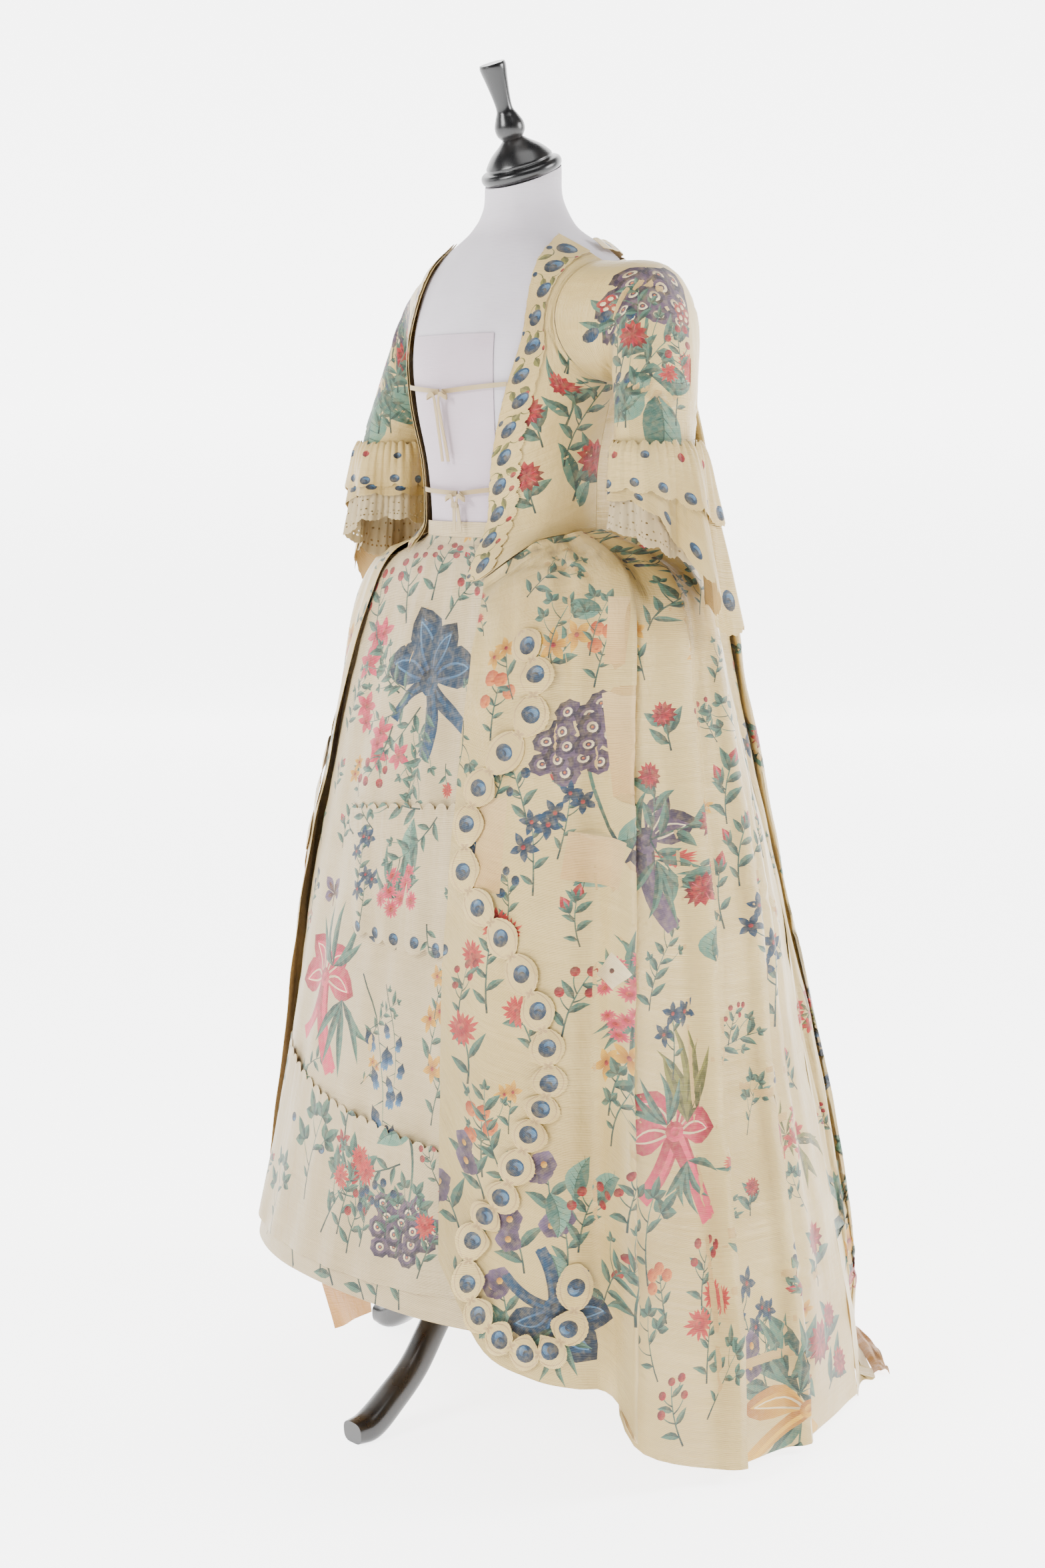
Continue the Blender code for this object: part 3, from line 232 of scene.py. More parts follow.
# %% Sizes and tables
WALL = 0.0013               # silk with its lining
TAPE = 0.0010               # linen tape and muslin
SEAM = 0.0003               # room left between pieces that are sewn together
LAP = 0.0016                # room under a piece that lies on another
BODY_POWER = 2.3            # squareness of the body's sections: 2 is an ellipse
SKIRT_POWER = 2.5
NECK_TILT = radians(22)     # the neck is cut sloping down to the front
NECK_TOP = 1.655
FORM_FOOT = 0.860
POLE_RADIUS = 0.015
HUB_BOTTOM = 0.185
HUB_TOP = 0.262
BAND_BOTTOM = 1.1863        # the petticoat's waistband
BAND_TOP = 1.206
PETTICOAT_HEM = 0.205
SHOULDER_Z = 1.572          # where the shoulder seam meets the neck
BACK_NECK_Z = 1.566
SACK_TOP = 1.538
FLOOR_ROOM = 0.0006         # the train just clears the floor plane that the feet stand on
FRONT_POINT = 1.126         # lowest point of the bodice fronts
ARMHOLE = {"bearing": 91.0, "z": 1.461, "half_angle": 30.0, "half_height": 0.075}
SIDE_ROOM = 0.25            # degrees left open at the side seams
ROBING_WIDTH = 0.046
WAIST_ROOM = 0.0022         # the skirts hang this far below the bodice's edge
PLEAT_DROP = 0.50           # and their pleats this share of what they stand out
SEAM_ROOM = 0.2             # degrees left open where the skirts meet the sack
FRONT_HALF = 96.0           # bearing of the petticoat's side seams
FRONT_COLUMNS = 23
SLEEVE_SIDES = 18
RUFFLE_WAVES = 7
OVALS = 26                  # pinked ovals in each serpentine trimming
OVAL_WIDE = 0.025           # half width of the trimming at an oval
TRAIN_SPREAD = 0.020        # how far the train's hem turns out on the floor
FACING_SPREAD = 0.022       # and how far its facing shows beyond it
HEM_FLOOR = 0.03            # the sack's section at this height gives its line on the floor
HEM_OUT = 0.014             # which lies this far out of it
HEM_GROWS = 0.26            # and its ends move out by this share of the spread
HEM_TURN = {"share": 0.38, "z": 0.0056}     # where the train's hem bends on to the floor
NECK_BEND = 1.59            # the form's sections tilt above this height
FLOUNCE_WAVE = 0.0045       # how far a petticoat flounce's waves stand off
BODICE_COLUMNS = 6          # columns between a bodice front's robing and its side seam
BODICE_LIFT = 0.004         # the least step between its lowest two rows
RIGHT_POINT = 0.035         # how much higher the right front's point ends
UNDERARM = 0.42             # share of a bodice panel's outer edge that is its side seam
NECK_BAND = {"from": 98.0, "to": 262.0, "columns": 13, "below": 0.003, "wide": 0.016}
HIP_SHARE = 0.16            # share of a skirt's length that is above SKIRT_HIP
PLEAT_LAYER = 0.0045        # share of the skirt that one lap takes at its back edge
JOIN_WIDE = 5.0             # degrees of the sack that lie on the bodice back
JOIN_OUT = 0.0052           # and how far outside its wall
FRILL_BACK = 0.003          # how far the frills sit behind the sleeve's middle
LONG_AT = radians(315)      # the frills are longest here, at the back of the elbow
# The torn facing under the petticoat's front: its left end, width and taper, then its height,
# depth and how much of that depth its right end loses.
FACING = {"x": -0.075, "wide": 0.115, "taper": 0.035, "z": 0.232, "deep": 0.085, "rise": 0.045}
PETTICOAT_ROWS = np.array([1.1858, 1.179, 1.170, 1.158, 1.142, 1.118, 1.07, 0.98, 0.85, 0.70, 0.54,
                           0.37, PETTICOAT_HEM])
BODICE_ROWS = np.concatenate([np.linspace(0, 0.36, 5), np.linspace(0.42, 1, 9)])[::-1]
SKIRT_HIP = 1.00            # rows above this height follow the hip, those below reach the hem
HIP_ROWS = np.array([0.0, 0.065, 0.12, 0.18, 0.26, 0.39, 0.63, 1.0])
HEM_ROWS = np.array([0.15, 0.32, 0.49, 0.67, 0.84, 1.0])
SACK_FREE_ROWS = (SACK_TOP, 1.49, 1.43, 1.35, 1.27, 1.206)
SACK_LOWEST = 0.024
# Columns of a skirt's flat front, closest where it rounds the corner of the hips.
FRONT_STOPS = {"left": (0.0, 0.26, 0.52, 0.77), "right": (0.0, 0.17, 0.36, 0.62)}


def rows(text):
    """The words of each line of a text."""
    return [line.split() for line in text.strip().splitlines()]


def table(text):
    """Columns by name, from a line of names and lines of numbers; the first column rises."""
    names, *numbers = rows(text)
    return dict(zip(names, np.array(numbers, float).T))


# The form under the clothes: half widths and the depths before and behind the axis.
FORM = table("""
z half front back ease
.86 .16 .1 .115 .011
.95 .176 .112 .132 .011
1.05 .16 .11 .124 .011
1.19 .1255 .108 .1186 .0085
1.23 .1265 .109 .1201 .0075
1.28 .13 .114 .124 .006
1.36 .15 .124 .134 .0055
1.42 .159 .124 .138 .0055
1.48 .16 .108 .136 .0055
1.53 .147 .086 .121 .006
1.56 .116 .069 .097 .0058
1.585 .076 .055 .069 .008
1.615 .053 .05 .051 .006
1.655 .048 .048 .048 .006
""")

# The petticoat over its hip pads, carried on below its hem for the gown that hangs outside it.
SKIRT = table("""
z half front back room
0 .408 .345 .44 .02
.2 .388 .316 .4 .019
.35 .366 .284 .37 .018
.5 .344 .258 .335 .017
.76 .322 .208 .27 .014
.92 .293 .177 .225 .011
1.04 .277 .15 .185 .01
1.1 .266 .134 .16 .009
1.135 .246 .126 .145 .008
1.155 .212 .121 .134 .008
1.17 .166 .116 .126 .0078
1.18 .136 .112 .121 .007
1.187 .128 .11 .12 .007
1.206 .127 .11 .12 .007
""")

# Front edges of the bodice, which does not meet: how far to either side of the middle.
EDGE = table("""
z left right
1.125 .034 .1
1.185 .046 .098
1.285 .059 .102
1.37 .086 .112
1.44 .106 .118
1.49 .104 .109
1.53 .1 .101
1.572 .096 .096
""")

# Lower edge of the bodice round the body.
WAIST = table("""
bearing z
0 1.126
24 1.13
40 1.157
52 1.176
68 1.188
91 1.192
180 1.193
""")

# Front edges of the gown's skirts, which hang open: bearings to either side of the front.
OPENING = table("""
z left right
.15 31 66
.31 27.5 64
.457 25.8 61
.68 22.8 57
.864 22.5 56
1 23.2 57
1.12 26.5 56
""")

# Hem of each skirt, from its front edge (0) back to the seam with the sack (1). The first
# hip pleat lies at PLEAT_AT_HEM, where the front breadth ends higher than the side breadth.
PLEAT_AT_HEM = 0.335

HEM = table("""
along z
0 .285
.03 .241
.06 .202
.1 .181
.15 .164
.25 .15
.325 .147
.345 .062
.45 .03
.6 .012
1 .003
""")

# Knife pleats of each skirt, let into the waist at the hip: where they lie between the front
# edge (0) and the back seam (1), how many degrees each laps, and how far it stands out.
HIP_PLEATS = table("""
order left_waist left_hem right_waist right_hem lap_waist lap_hem rise_waist rise_hem
0 .5 .335 .58 .58 4 2.2 .0078 .018
1 .65 .56 .77 .76 4 1.8 .0078 .015
2 .81 .74 .92 .9 3.6 1.8 .0078 .015
""")

# One knife pleat in section, in laps along and rises out; the cloth doubles back on itself.
PLEAT = table("""
step along out
0 -1.6 0
1 -.66 .92
2 .5 1
3 .5 .52
4 -.5 .46
5 -.5 0
6 .7 0
""")

# The sack: half its width, and its distance behind the figure's origin at the middle and the
# outer pleat edge; bearing of the seam where it joins the side; depth of one pleat layer.
SACK = table("""
z half middle edge seam layer fold
0 .306 .447 .302 128 .012 0
.03 .308 .445 .303 128 .012 0
.27 .29 .409 .291 128 .011 .045
.43 .267 .379 .277 128 .01 .09
.62 .231 .335 .249 128 .009 .17
.8 .2 .296 .228 128 .008 .36
1 .168 .252 .202 127 .007 .55
1.15 .151 .226 .186 126 .006 .7
1.25 .138 .204 .171 127 .005 .8
1.36 .126 .176 .152 129 .0042 .9
1.45 .112 .142 .121 131 .0038 1
1.5 .102 .119 .098 133 .0036 1
1.546 .09 .094 .074 136 .0034 1
""")

# Half the sack's section: place across its half width and layer, folded and let out.
BOX_PLEAT = table("""
step folded layer let_out level
0 0 0 0 0
1 .5 0 .13 0
2 .5 1.35 .175 .4
3 .13 1.35 .195 1
4 .13 2 .25 1.35
5 .4 2 .48 1.5
6 .72 2 .74 1.5
7 1 2 .92 1.5
8 1 1.35 .955 1.2
9 .64 1.35 .975 .7
10 .64 0 1.01 .25
11 .84 0 1.04 0
""")

# Sleeve sections below the armhole: outer and inner points, centre and front-to-back radius.
SLEEVE = table("""
row out_x out_z in_x in_z y deep
1 .223 1.524 .179 1.375 -.004 .068
2 .243 1.485 .179 1.365 -.008 .07
3 .257 1.44 .185 1.35 -.016 .068
4 .269 1.392 .192 1.333 -.027 .064
5 .28 1.347 .199 1.316 -.038 .06
6 .289 1.306 .205 1.298 -.046 .056
7 .292 1.286 .207 1.28 -.048 .055
""")

# Sleeve frills, outermost first: height of the gathers, lengths at the inner and outer arm,
# room outside the sleeve, and scallops round the lower edge.
FRILLS = table("""
frill top short long close room scallops
0 1.311 .075 .105 3 .0122 12
1 1.302 .078 .235 3 .0092 12
2 1.293 .09 .15 1 .0052 0
""")

FRILL_NAMES = ("flounce_upper", "flounce_lower", "lace_ruffle")

# What all the frills gain outwards for each metre that they fall, so that they stay nested.
FRILL_LEAN = 0.08
FRILL_FLARE = 0.10          # what a frill spreads for each metre
FRILL_WAVE = 0.085          # and what its waves add

# Serpentine trimming of the skirts, walked oval by oval from the waist: degrees round from the
# front edge, and height.
SERPENT = table("""
oval off z
0 20.5 1.068
1.5 26.4 1.015
2.5 25.2 .966
4.5 9.5 .87
5.5 6.2 .826
6.5 6 .766
8.5 18.2 .69
10.5 25.6 .605
12.5 26.6 .52
14.5 21.7 .454
16.5 15.1 .374
18.5 8.4 .318
19.5 6.8 .266
21.5 12.1 .206
23.5 21 .196
25 26.4 .245
26 27.8 .3
""")

# The right skirt is pulled back, which crowds its trimming.
SERPENT_REACH = {"left": 1.0, "right": 0.95}

# Applied flounces of the petticoat front: top and lower edges as heights at places across.
FLOUNCE_UPPER = table("""
across x_top z_top x_low z_low
0 -.146 .826 -.096 .662
.3 -.05 .838 -.018 .652
.65 .062 .849 .078 .652
1 .17 .858 .176 .664
""")

FLOUNCE_LOWER = table("""
across x_top z_top x_low z_low
0 -.268 .492 -.3 .236
.12 -.22 .476 -.24 .232
.35 -.105 .445 -.115 .23
.6 .01 .43 .01 .23
.8 .12 .42 .125 .236
1 .225 .424 .24 .246
""")

# One leg of the stand: centre line out from the pole, with its half height and half width.
LEG = table("""
step out z tall wide
0 .0303 .228 .02 .014
1 .07 .227 .018 .015
2 .118 .192 .018 .016
3 .168 .128 .018 .017
4 .207 .076 .018 .018
5 .248 .042 .018 .02
6 .285 .0174 .018 .021
7 .314 .0144 .015 .018
""")

LEG_COUNT = 4

# Half a bow of tape, from the bodice's edge by way of the knot and the loop to the tail:
# degrees from the knot (the first row is the edge), drop below it, distance out, and how far
# the tape is turned from standing on edge.
HALF_BOW = table("""
step across drop out turn
0 0 0 .0018 0
1 1.3 0 .0018 0
2 4 .002 .0046 0
3 7.5 .006 .0056 0
4 9.1 .008 .008 0
5 7.5 .007 .0106 0
6 4.4 .003 .0104 0
7 2.4 .005 .0096 15
8 1.4 .018 .009 65
9 1.6 .036 .0075 90
10 2.8 .09 .005 90
""")

# Each bow: bearing and height of its knot, and the length of its tails.
TIES = {
    "tie_upper": {"knot": -8.0, "z": 1.374, "edge_rise": 0.008, "tail": 1.0},
    "tie_lower": {"knot": 0.5, "z": 1.243, "edge_rise": 0.005, "tail": 0.55},
}

TIE_WIDTH = 0.006

CAP_PROFILE = table("""
step radius z
0 .0485 0
1 .053 .003
2 .0545 .009
3 .052 .014
4 .045 .017
5 .044 .022
6 .034 .034
7 .021 .044
8 .014 .05
""")

FINIAL_PROFILE = table("""
step radius z
0 .014 0
1 .019 .008
2 .0195 .018
3 .015 .029
4 .011 .038
5 .0115 .052
6 .0145 .074
7 .0175 .092
8 .0168 .098
""")


# %% Reading the tables
def hermite(u, span):
    """Weights of value and slope at each end of a piece: 2u^3-3u^2+1, u^3-2u^2+u and so on."""
    return (
        (2 * u**3 - 3 * u**2 + 1, span * (u**3 - 2 * u**2 + u)),
        (3 * u**2 - 2 * u**3, span * (u**3 - u**2)),
    )


def read(columns, name, at):
    """A column at any station, by cubic Hermite pieces; the neighbouring rows give the slopes."""
    x = next(iter(columns.values()))
    y = columns[name]
    slope = np.gradient(y, x)
    at = np.clip(at, x[0], x[-1])
    i = np.clip(np.searchsorted(x, at) - 1, 0, len(x) - 2)
    span = x[i + 1] - x[i]
    (low, low_slope), (high, high_slope) = hermite((at - x[i]) / span, span)
    return low * y[i] + low_slope * slope[i] + high * y[i + 1] + high_slope * slope[i + 1]


def straight(columns, name, at):
    """A column at any station, by straight lines between its rows."""
    return np.interp(at, next(iter(columns.values())), columns[name])


def radius(columns, power, bearing, z):
    """Distance of a section from the axis: (|sin b / half|^n + |cos b / deep|^n)^(-1/n)."""
    b = np.radians(bearing)
    deep = np.where(np.cos(b) > 0, read(columns, "front", z), read(columns, "back", z))
    across = np.abs(np.sin(b) / read(columns, "half", z)) ** power
    return (across + np.abs(np.cos(b) / deep) ** power) ** (-1 / power)


def place(bearing, z, r):
    """The point at this bearing, height and distance from the axis."""
    b = np.radians(bearing)
    return np.stack([r * np.sin(b), AXIS_Y - r * np.cos(b), z + 0 * r], axis=-1)


def moved_out(radial, bearing, z, out):
    """A point of the surface r = radial(bearing, z), moved out square to its slope dr/dz."""
    step = 0.002
    slope = np.arctan((radial(bearing, z + step) - radial(bearing, z - step)) / (2 * step))
    b = np.radians(bearing)
    normal = np.stack([np.cos(slope) * np.sin(b), -np.cos(slope) * np.cos(b), -np.sin(slope)], -1)
    return place(bearing, z, radial(bearing, z)) + normal * np.asarray(out)[..., None]


def skirt_radius(bearing, z):
    return radius(SKIRT, SKIRT_POWER, bearing, z)


def bodice_radius(bearing, z):
    return radius(FORM, BODY_POWER, bearing, z) + read(FORM, "ease", z)


def petticoat(bearing, z, out=0.0):
    """A point on the wearer's side of the petticoat, moved out by `out`."""
    return moved_out(skirt_radius, bearing, z, out)


def gown(bearing, z, out=0.0):
    """A point on the wearer's side of the gown's skirts before they are pleated."""
    return moved_out(skirt_radius, bearing, z, read(SKIRT, "room", z) + out)


def bodice(bearing, z, out=0.0):
    """A point on the wearer's side of the bodice, which below the waist lies on the petticoat."""
    over_form = moved_out(bodice_radius, bearing, z, out)
    return np.where(np.asarray(z > BAND_TOP)[..., None], over_form, gown(bearing, z, out))


def edge_bearing(side, z):
    """Bearing of the bodice's front edge, whose distance from the middle is given."""
    x = read(EDGE, side, z)
    trial = np.linspace(0, 90, 181)
    found = [
        np.interp(xi, bodice(trial, np.full(181, zi))[:, 0], trial)
        for xi, zi in zip(np.ravel(x), np.ravel(z))
    ]
    return np.reshape(found, np.shape(z))


def armhole(turn):
    """Bearing and height on the armhole: turn 0 is the shoulder, 90 the front, 180 the underarm."""
    a = np.radians(turn)
    return (
        ARMHOLE["bearing"] - ARMHOLE["half_angle"] * np.sin(a),
        ARMHOLE["z"] + ARMHOLE["half_height"] * np.cos(a),
    )


# %% Grids of the petticoat and the bodice
def front_grid():
    bearing = np.linspace(-FRONT_HALF, FRONT_HALF, FRONT_COLUMNS)
    b, z = np.meshgrid(bearing, PETTICOAT_ROWS)
    return petticoat(b, z)


def side_line(v, back):
    """Bearing and height up a bodice panel's outer edge: side seam, then round the armhole."""
    rise = np.clip(v / UNDERARM, 0, 1)
    bearing, z = armhole(180 - 180 * np.clip((v - UNDERARM) / (1 - UNDERARM), 0, 1))
    low = straight(WAIST, "z", ARMHOLE["bearing"])
    z = np.where(v < UNDERARM, low + (ARMHOLE["z"] - ARMHOLE["half_height"] - low) * rise, z)
    bearing = np.where(back, 2 * ARMHOLE["bearing"] - bearing, bearing)
    return bearing, z


def front_panel(side):
    """A bodice front as for the wearer's left, from its front edge to side seam and armhole."""
    v = BODICE_ROWS[:, None]
    z_in = FRONT_POINT + (SHOULDER_Z - FRONT_POINT) * v
    if side == "right":
        z_in = z_in + RIGHT_POINT * (1 - v) ** 3
    b_in = edge_bearing(side, z_in)
    b_out, z_out = side_line(v, False)
    inner = bodice(b_in, z_in)[..., :2]
    reach = ROBING_WIDTH / np.linalg.norm(inner, axis=-1)
    b_robe = np.minimum(b_in + np.degrees(reach), b_in * 0.35 + b_out * 0.65)
    share = (b_robe - b_in) / (b_out - b_in)
    across, beyond = np.array([0.0, 0.5, 1.0]), np.linspace(0, 1, BODICE_COLUMNS)[1:]
    b = np.concatenate([b_in + (b_robe - b_in) * across, b_robe + (b_out - b_robe) * beyond], 1)
    p = np.concatenate([share * across, share + (1 - share) * beyond], 1)
    z = z_in + (z_out - z_in) * p
    low = straight(WAIST, "z", b)
    z = np.where(v == 0, low, np.maximum(z, low + BODICE_LIFT))
    return bodice(b, z)


def back_panel():
    """The bodice back, from the right side seam round the centre back to the left one."""
    v = BODICE_ROWS[:, None]
    b_out, z_out = side_line(v, True)
    u = np.linspace(1, -1, 13)[None, :]
    middle = straight(WAIST, "z", 180.0) + (BACK_NECK_Z - straight(WAIST, "z", 180.0)) * v
    b = 180 - (180 - b_out - SIDE_ROOM) * u
    return bodice(b, middle + (z_out - middle) * np.abs(u))


# %% Grids of the skirts and the sack
def skirt_top(bearing):
    """Upper edge of the skirts, sewn under the bodice's lower edge."""
    return straight(WAIST, "z", bearing) - WAIST_ROOM


def skirt_columns(side, z_share):
    """Places along a skirt, distances out and laps, column by column, at shares of its height."""
    columns, stops = [], FRONT_STOPS[side]
    for k in range(len(HIP_PLEATS["order"])):
        waist = {name: column[k] for name, column in HIP_PLEATS.items()}
        at = waist[side + "_waist"] + (waist[side + "_hem"] - waist[side + "_waist"]) * z_share
        laps = waist["lap_waist"] + (waist["lap_hem"] - waist["lap_waist"]) * z_share
        rise = waist["rise_waist"] + (waist["rise_hem"] - waist["rise_waist"]) * z_share
        columns += [(stop * at, 0 * at, 0 * at) for stop in stops]
        stops = ()
        columns += [(at, step_out * rise, step_along * laps)
                    for step_along, step_out in zip(PLEAT["along"], PLEAT["out"])]
    columns.append((1 + 0 * z_share, 0 * z_share, 0 * z_share))
    return [np.stack(parts, -1) for parts in zip(*columns)]


def skirt_panel(side):
    """Bearings, heights and distances out of one skirt: flat front, knife pleats, back seam."""
    share = np.concatenate([HIP_ROWS * HIP_SHARE, HIP_SHARE + (1 - HIP_SHARE) * HEM_ROWS])
    along, out, lap = skirt_columns(side, share)
    first = HIP_PLEATS[side + "_hem"][0]
    cloth_at = along[-1:] + lap[-1:] * PLEAT_LAYER
    hem = straight(HEM, "z", np.interp(cloth_at, [0, first, 1], [0, PLEAT_AT_HEM, 1]))
    z = skirt_top(0.0) - share[:, None] + 0 * along
    for _ in range(4):
        start = straight(OPENING, side, z)
        bearing = start + (read(SACK, "seam", z) - SEAM_ROOM - start) * along + lap
        top = skirt_top(bearing)[:1] - PLEAT_DROP * out[:1]
        z = np.concatenate([top + (SKIRT_HIP - top) * HIP_ROWS[:, None],
                            SKIRT_HIP + (hem - SKIRT_HIP) * HEM_ROWS[:, None]])
    return bearing, z, out


def sack_rows():
    """Heights down the sack; below the waist they are those of the skirts' back edges."""
    top = skirt_top(180.0)
    hem = HEM["z"][-1]
    hip = top + (SKIRT_HIP - top) * HIP_ROWS
    low = SKIRT_HIP + (hem - SKIRT_HIP) * HEM_ROWS[:-1]
    return np.concatenate([SACK_FREE_ROWS, hip, low, [SACK_LOWEST]])


def arch(z, s, level):
    """Points at shares s of the sack's half width, this far out of its bowed section."""
    half, middle, edge = (read(SACK, key, z) for key in ("half", "middle", "edge"))
    slope = -2 * (middle - edge) * s / half
    n = np.sqrt(1 + slope**2)
    return np.stack(
        [half * s - slope / n * level, middle - (middle - edge) * s**2 + level / n, z + 0 * s], -1
    )


def sack_half():
    """Half the sack's grid, from the centre back out to the wearer's left seam."""
    z = sack_rows()[:, None]
    folded = read(SACK, "fold", z)
    s = BOX_PLEAT["folded"] * folded + BOX_PLEAT["let_out"] * (1 - folded)
    level = BOX_PLEAT["layer"] * folded + BOX_PLEAT["level"] * (1 - folded)
    pleats = arch(z, s, level * read(SACK, "layer", z))
    bearing = read(SACK, "seam", z) + np.array([[JOIN_WIDE, 0.0]])
    z = z + 0 * bearing
    out = np.where(z > skirt_top(180.0) - SEAM, WALL + JOIN_OUT, 0.0)
    joined = bodice(bearing, z, out)
    grid = np.concatenate([pleats, joined], 1)
    # The hem turns out on to the floor round a plain bowed line.
    flat = floor_line(grid[-1:, -2:], TRAIN_SPREAD)
    turned = grid[-1:] + (flat - grid[-1:]) * HEM_TURN["share"]
    turned[..., 2] = HEM_TURN["z"]
    return np.concatenate([grid, turned, flat])


def floor_line(joined, spread):
    """The train's edge on the floor, this far out; the last two points are the joined ones."""
    line = arch(np.full((1, 1), HEM_FLOOR), BOX_PLEAT["let_out"][None], HEM_OUT + spread)
    scale = 1 + spread * HEM_GROWS
    line = np.concatenate([line, joined * (scale, scale, 1)], 1)
    line[..., 2] = FLOOR_ROOM
    return line


def whole(half):
    """Both halves of a grid that starts at the centre back, from the right round to the left."""
    return np.concatenate([half[:, :0:-1], half * (-1, 1, 1)], 1)


def sleeve_rings():
    """Rings from the armhole down to the cuff, each starting at the top of the arm."""
    turn = np.linspace(0, 360, SLEEVE_SIDES, endpoint=False)
    a = np.radians(turn)
    bearing, z = armhole(turn)
    rings = [bodice(bearing, z, WALL + LAP)]
    for k in range(len(SLEEVE["row"])):
        out = np.array([SLEEVE["out_x"][k], SLEEVE["y"][k], SLEEVE["out_z"][k]])
        inner = np.array([SLEEVE["in_x"][k], SLEEVE["y"][k], SLEEVE["in_z"][k]])
        middle, reach = (out + inner) / 2, (out - inner) / 2
        front = np.array([0.0, -SLEEVE["deep"][k], 0.0])
        rings.append(middle + np.outer(np.cos(a), reach) + np.outer(np.sin(a), front))
    return np.stack(rings)


# %% [markdown]
# ## Cloth as a smooth sheet
#
# A tailor thinks of cloth in the flat, so every piece below is a sheet with its own flat
# places: a metres across and b metres down. The grid of section points says where the sheet
# goes, and cubic pieces carry it smoothly between them. Creases are listed as soft troughs
# with a low ridge on either side, and a slight crumple keeps the silk from looking like
# paper.

# %% A sheet through a grid
class Sheet:
    """Cloth through a grid of points: rows run down, columns to the wearer's left.

    Each place (a, b) is in metres of flat cloth, a across and b down. Between the grid's
    points runs the product of two cubic Hermite pieces, one for each direction.
    """

    def __init__(self, grid, closed=False, folds=(), crumple=0.0, seed=1):
        grid = grid + np.array([0.0, BACK_SHIFT, 0.0])
        ends = 0
        if closed:
            grid = np.concatenate([grid[:, -2:], grid, grid[:, :3]], 1)
            ends = 2
        across = np.linalg.norm(np.diff(grid, axis=1), axis=-1)
        down = np.linalg.norm(np.diff(grid, axis=0), axis=-1)
        self.a = np.concatenate([[0], np.cumsum(across.mean(0))])
        self.a -= self.a[ends]
        self.b = np.concatenate([[0], np.cumsum(down.mean(1))])
        self.width, self.length = self.a[-1 - ends], self.b[-1]
        slope = np.gradient(grid, self.a, axis=1)
        self.parts = grid, slope, np.gradient(grid, self.b, axis=0), np.gradient(slope, self.b, axis=0)
        self.closed = closed
        self.folds = folds
        self.crumple = crumple
        rng = np.random.default_rng(seed)
        self.waves = rng.normal(0, 55, (9, 2)), rng.uniform(0, 2 * pi, 9)
        self.flat = across.sum(1).max(), down.sum(0).max()

    def smooth(self, a, b):
        """The point at (a, b), before creases."""
        j = np.clip(np.searchsorted(self.a, a, side="right") - 1, 0, len(self.a) - 2)
        i = np.clip(np.searchsorted(self.b, b, side="right") - 1, 0, len(self.b) - 2)
        wide, deep = self.a[j + 1] - self.a[j], self.b[i + 1] - self.b[i]
        total = 0.0
        for k, (v, v_slope) in enumerate(hermite((b - self.b[i]) / deep, deep)):
            for m, (u, u_slope) in enumerate(hermite((a - self.a[j]) / wide, wide)):
                weights = v * u, v * u_slope, v_slope * u, v_slope * u_slope
                for weight, part in zip(weights, self.parts):
                    total = total + weight[..., None] * part[i + k, j + m]
        return total

    def relief(self, a, b):
        """Height of the creases: depth (2 q^2 - 1) exp(-q^2) at q widths from each, and crumple."""
        total = 0.0 * a
        for a0, b0, a1, b1, bow, wide, depth in self.folds:
            start = np.array([a0 * self.width, b0 * self.length])
            run = np.array([a1 * self.width, b1 * self.length]) - start
            size = np.hypot(*run)
            t = np.clip(((a - start[0]) * run[0] + (b - start[1]) * run[1]) / size**2, 0, 1)
            side = ((a - start[0]) * run[1] - (b - start[1]) * run[0]) / size
            beyond = np.hypot(a - start[0] - t * run[0], b - start[1] - t * run[1])
            q = np.where((t > 0) & (t < 1), side - bow * 4 * t * (1 - t), beyond) / wide
            total = total + depth * (2 * q**2 - 1) * np.exp(-(q**2)) * (1 - (2 * t - 1) ** 4)
        if self.crumple:
            waves, phase = self.waves
            angle = a[..., None] * waves[:, 0] * 1.4 + b[..., None] * waves[:, 1] * 0.7 + phase
            total = total + self.crumple * np.sin(angle).mean(-1)
        return total

    def turned(self, a, b, step=0.0015):
        """Directions across and down, each per metre of flat cloth, and the unit normal."""
        low = (a - step, b - step) if self.closed else (np.maximum(a - step, 0), None)
        high = (a + step, b + step) if self.closed else (np.minimum(a + step, self.width), None)
        below, above = np.maximum(b - step, 0), np.minimum(b + step, self.length)
        across = (self.smooth(high[0], b) - self.smooth(low[0], b)) / (high[0] - low[0])[..., None]
        down = (self.smooth(a, above) - self.smooth(a, below)) / (above - below)[..., None]
        normal = np.cross(down, across)
        normal /= np.maximum(np.linalg.norm(normal, axis=-1, keepdims=True), 1e-9)
        return across, down, normal

    def lay(self, a, b, out=0.0):
        """Points moved out square to the sheet by its creases and `out`, and their normals."""
        across, down, normal = self.turned(a, b)
        step = 0.002
        along = (self.relief(a + step, b) - self.relief(a - step, b)) / (2 * step)
        drop = (self.relief(a, b + step) - self.relief(a, b - step)) / (2 * step)
        tilt = along[..., None] * across + drop[..., None] * down
        shaded = normal - tilt / np.maximum((across**2).sum(-1, keepdims=True), 0.2)
        shaded /= np.linalg.norm(shaded, axis=-1, keepdims=True)
        return self.smooth(a, b) + (self.relief(a, b) + out)[..., None] * normal, shaded


# %% [markdown]
# ## Paint laid into the cloth
#
# The flowers are brushed on, so they have no thickness, yet they must follow every fold. One
# way is a picture wrapped over the cloth. Here each petal and leaf is an outline cut into the
# sheet's own triangles instead, by a constrained Delaunay triangulation, which keeps every
# edge sharp and needs no picture. A shape has a dark and a light ink, and the colour runs from
# one to the other as a loaded brush leaves it.

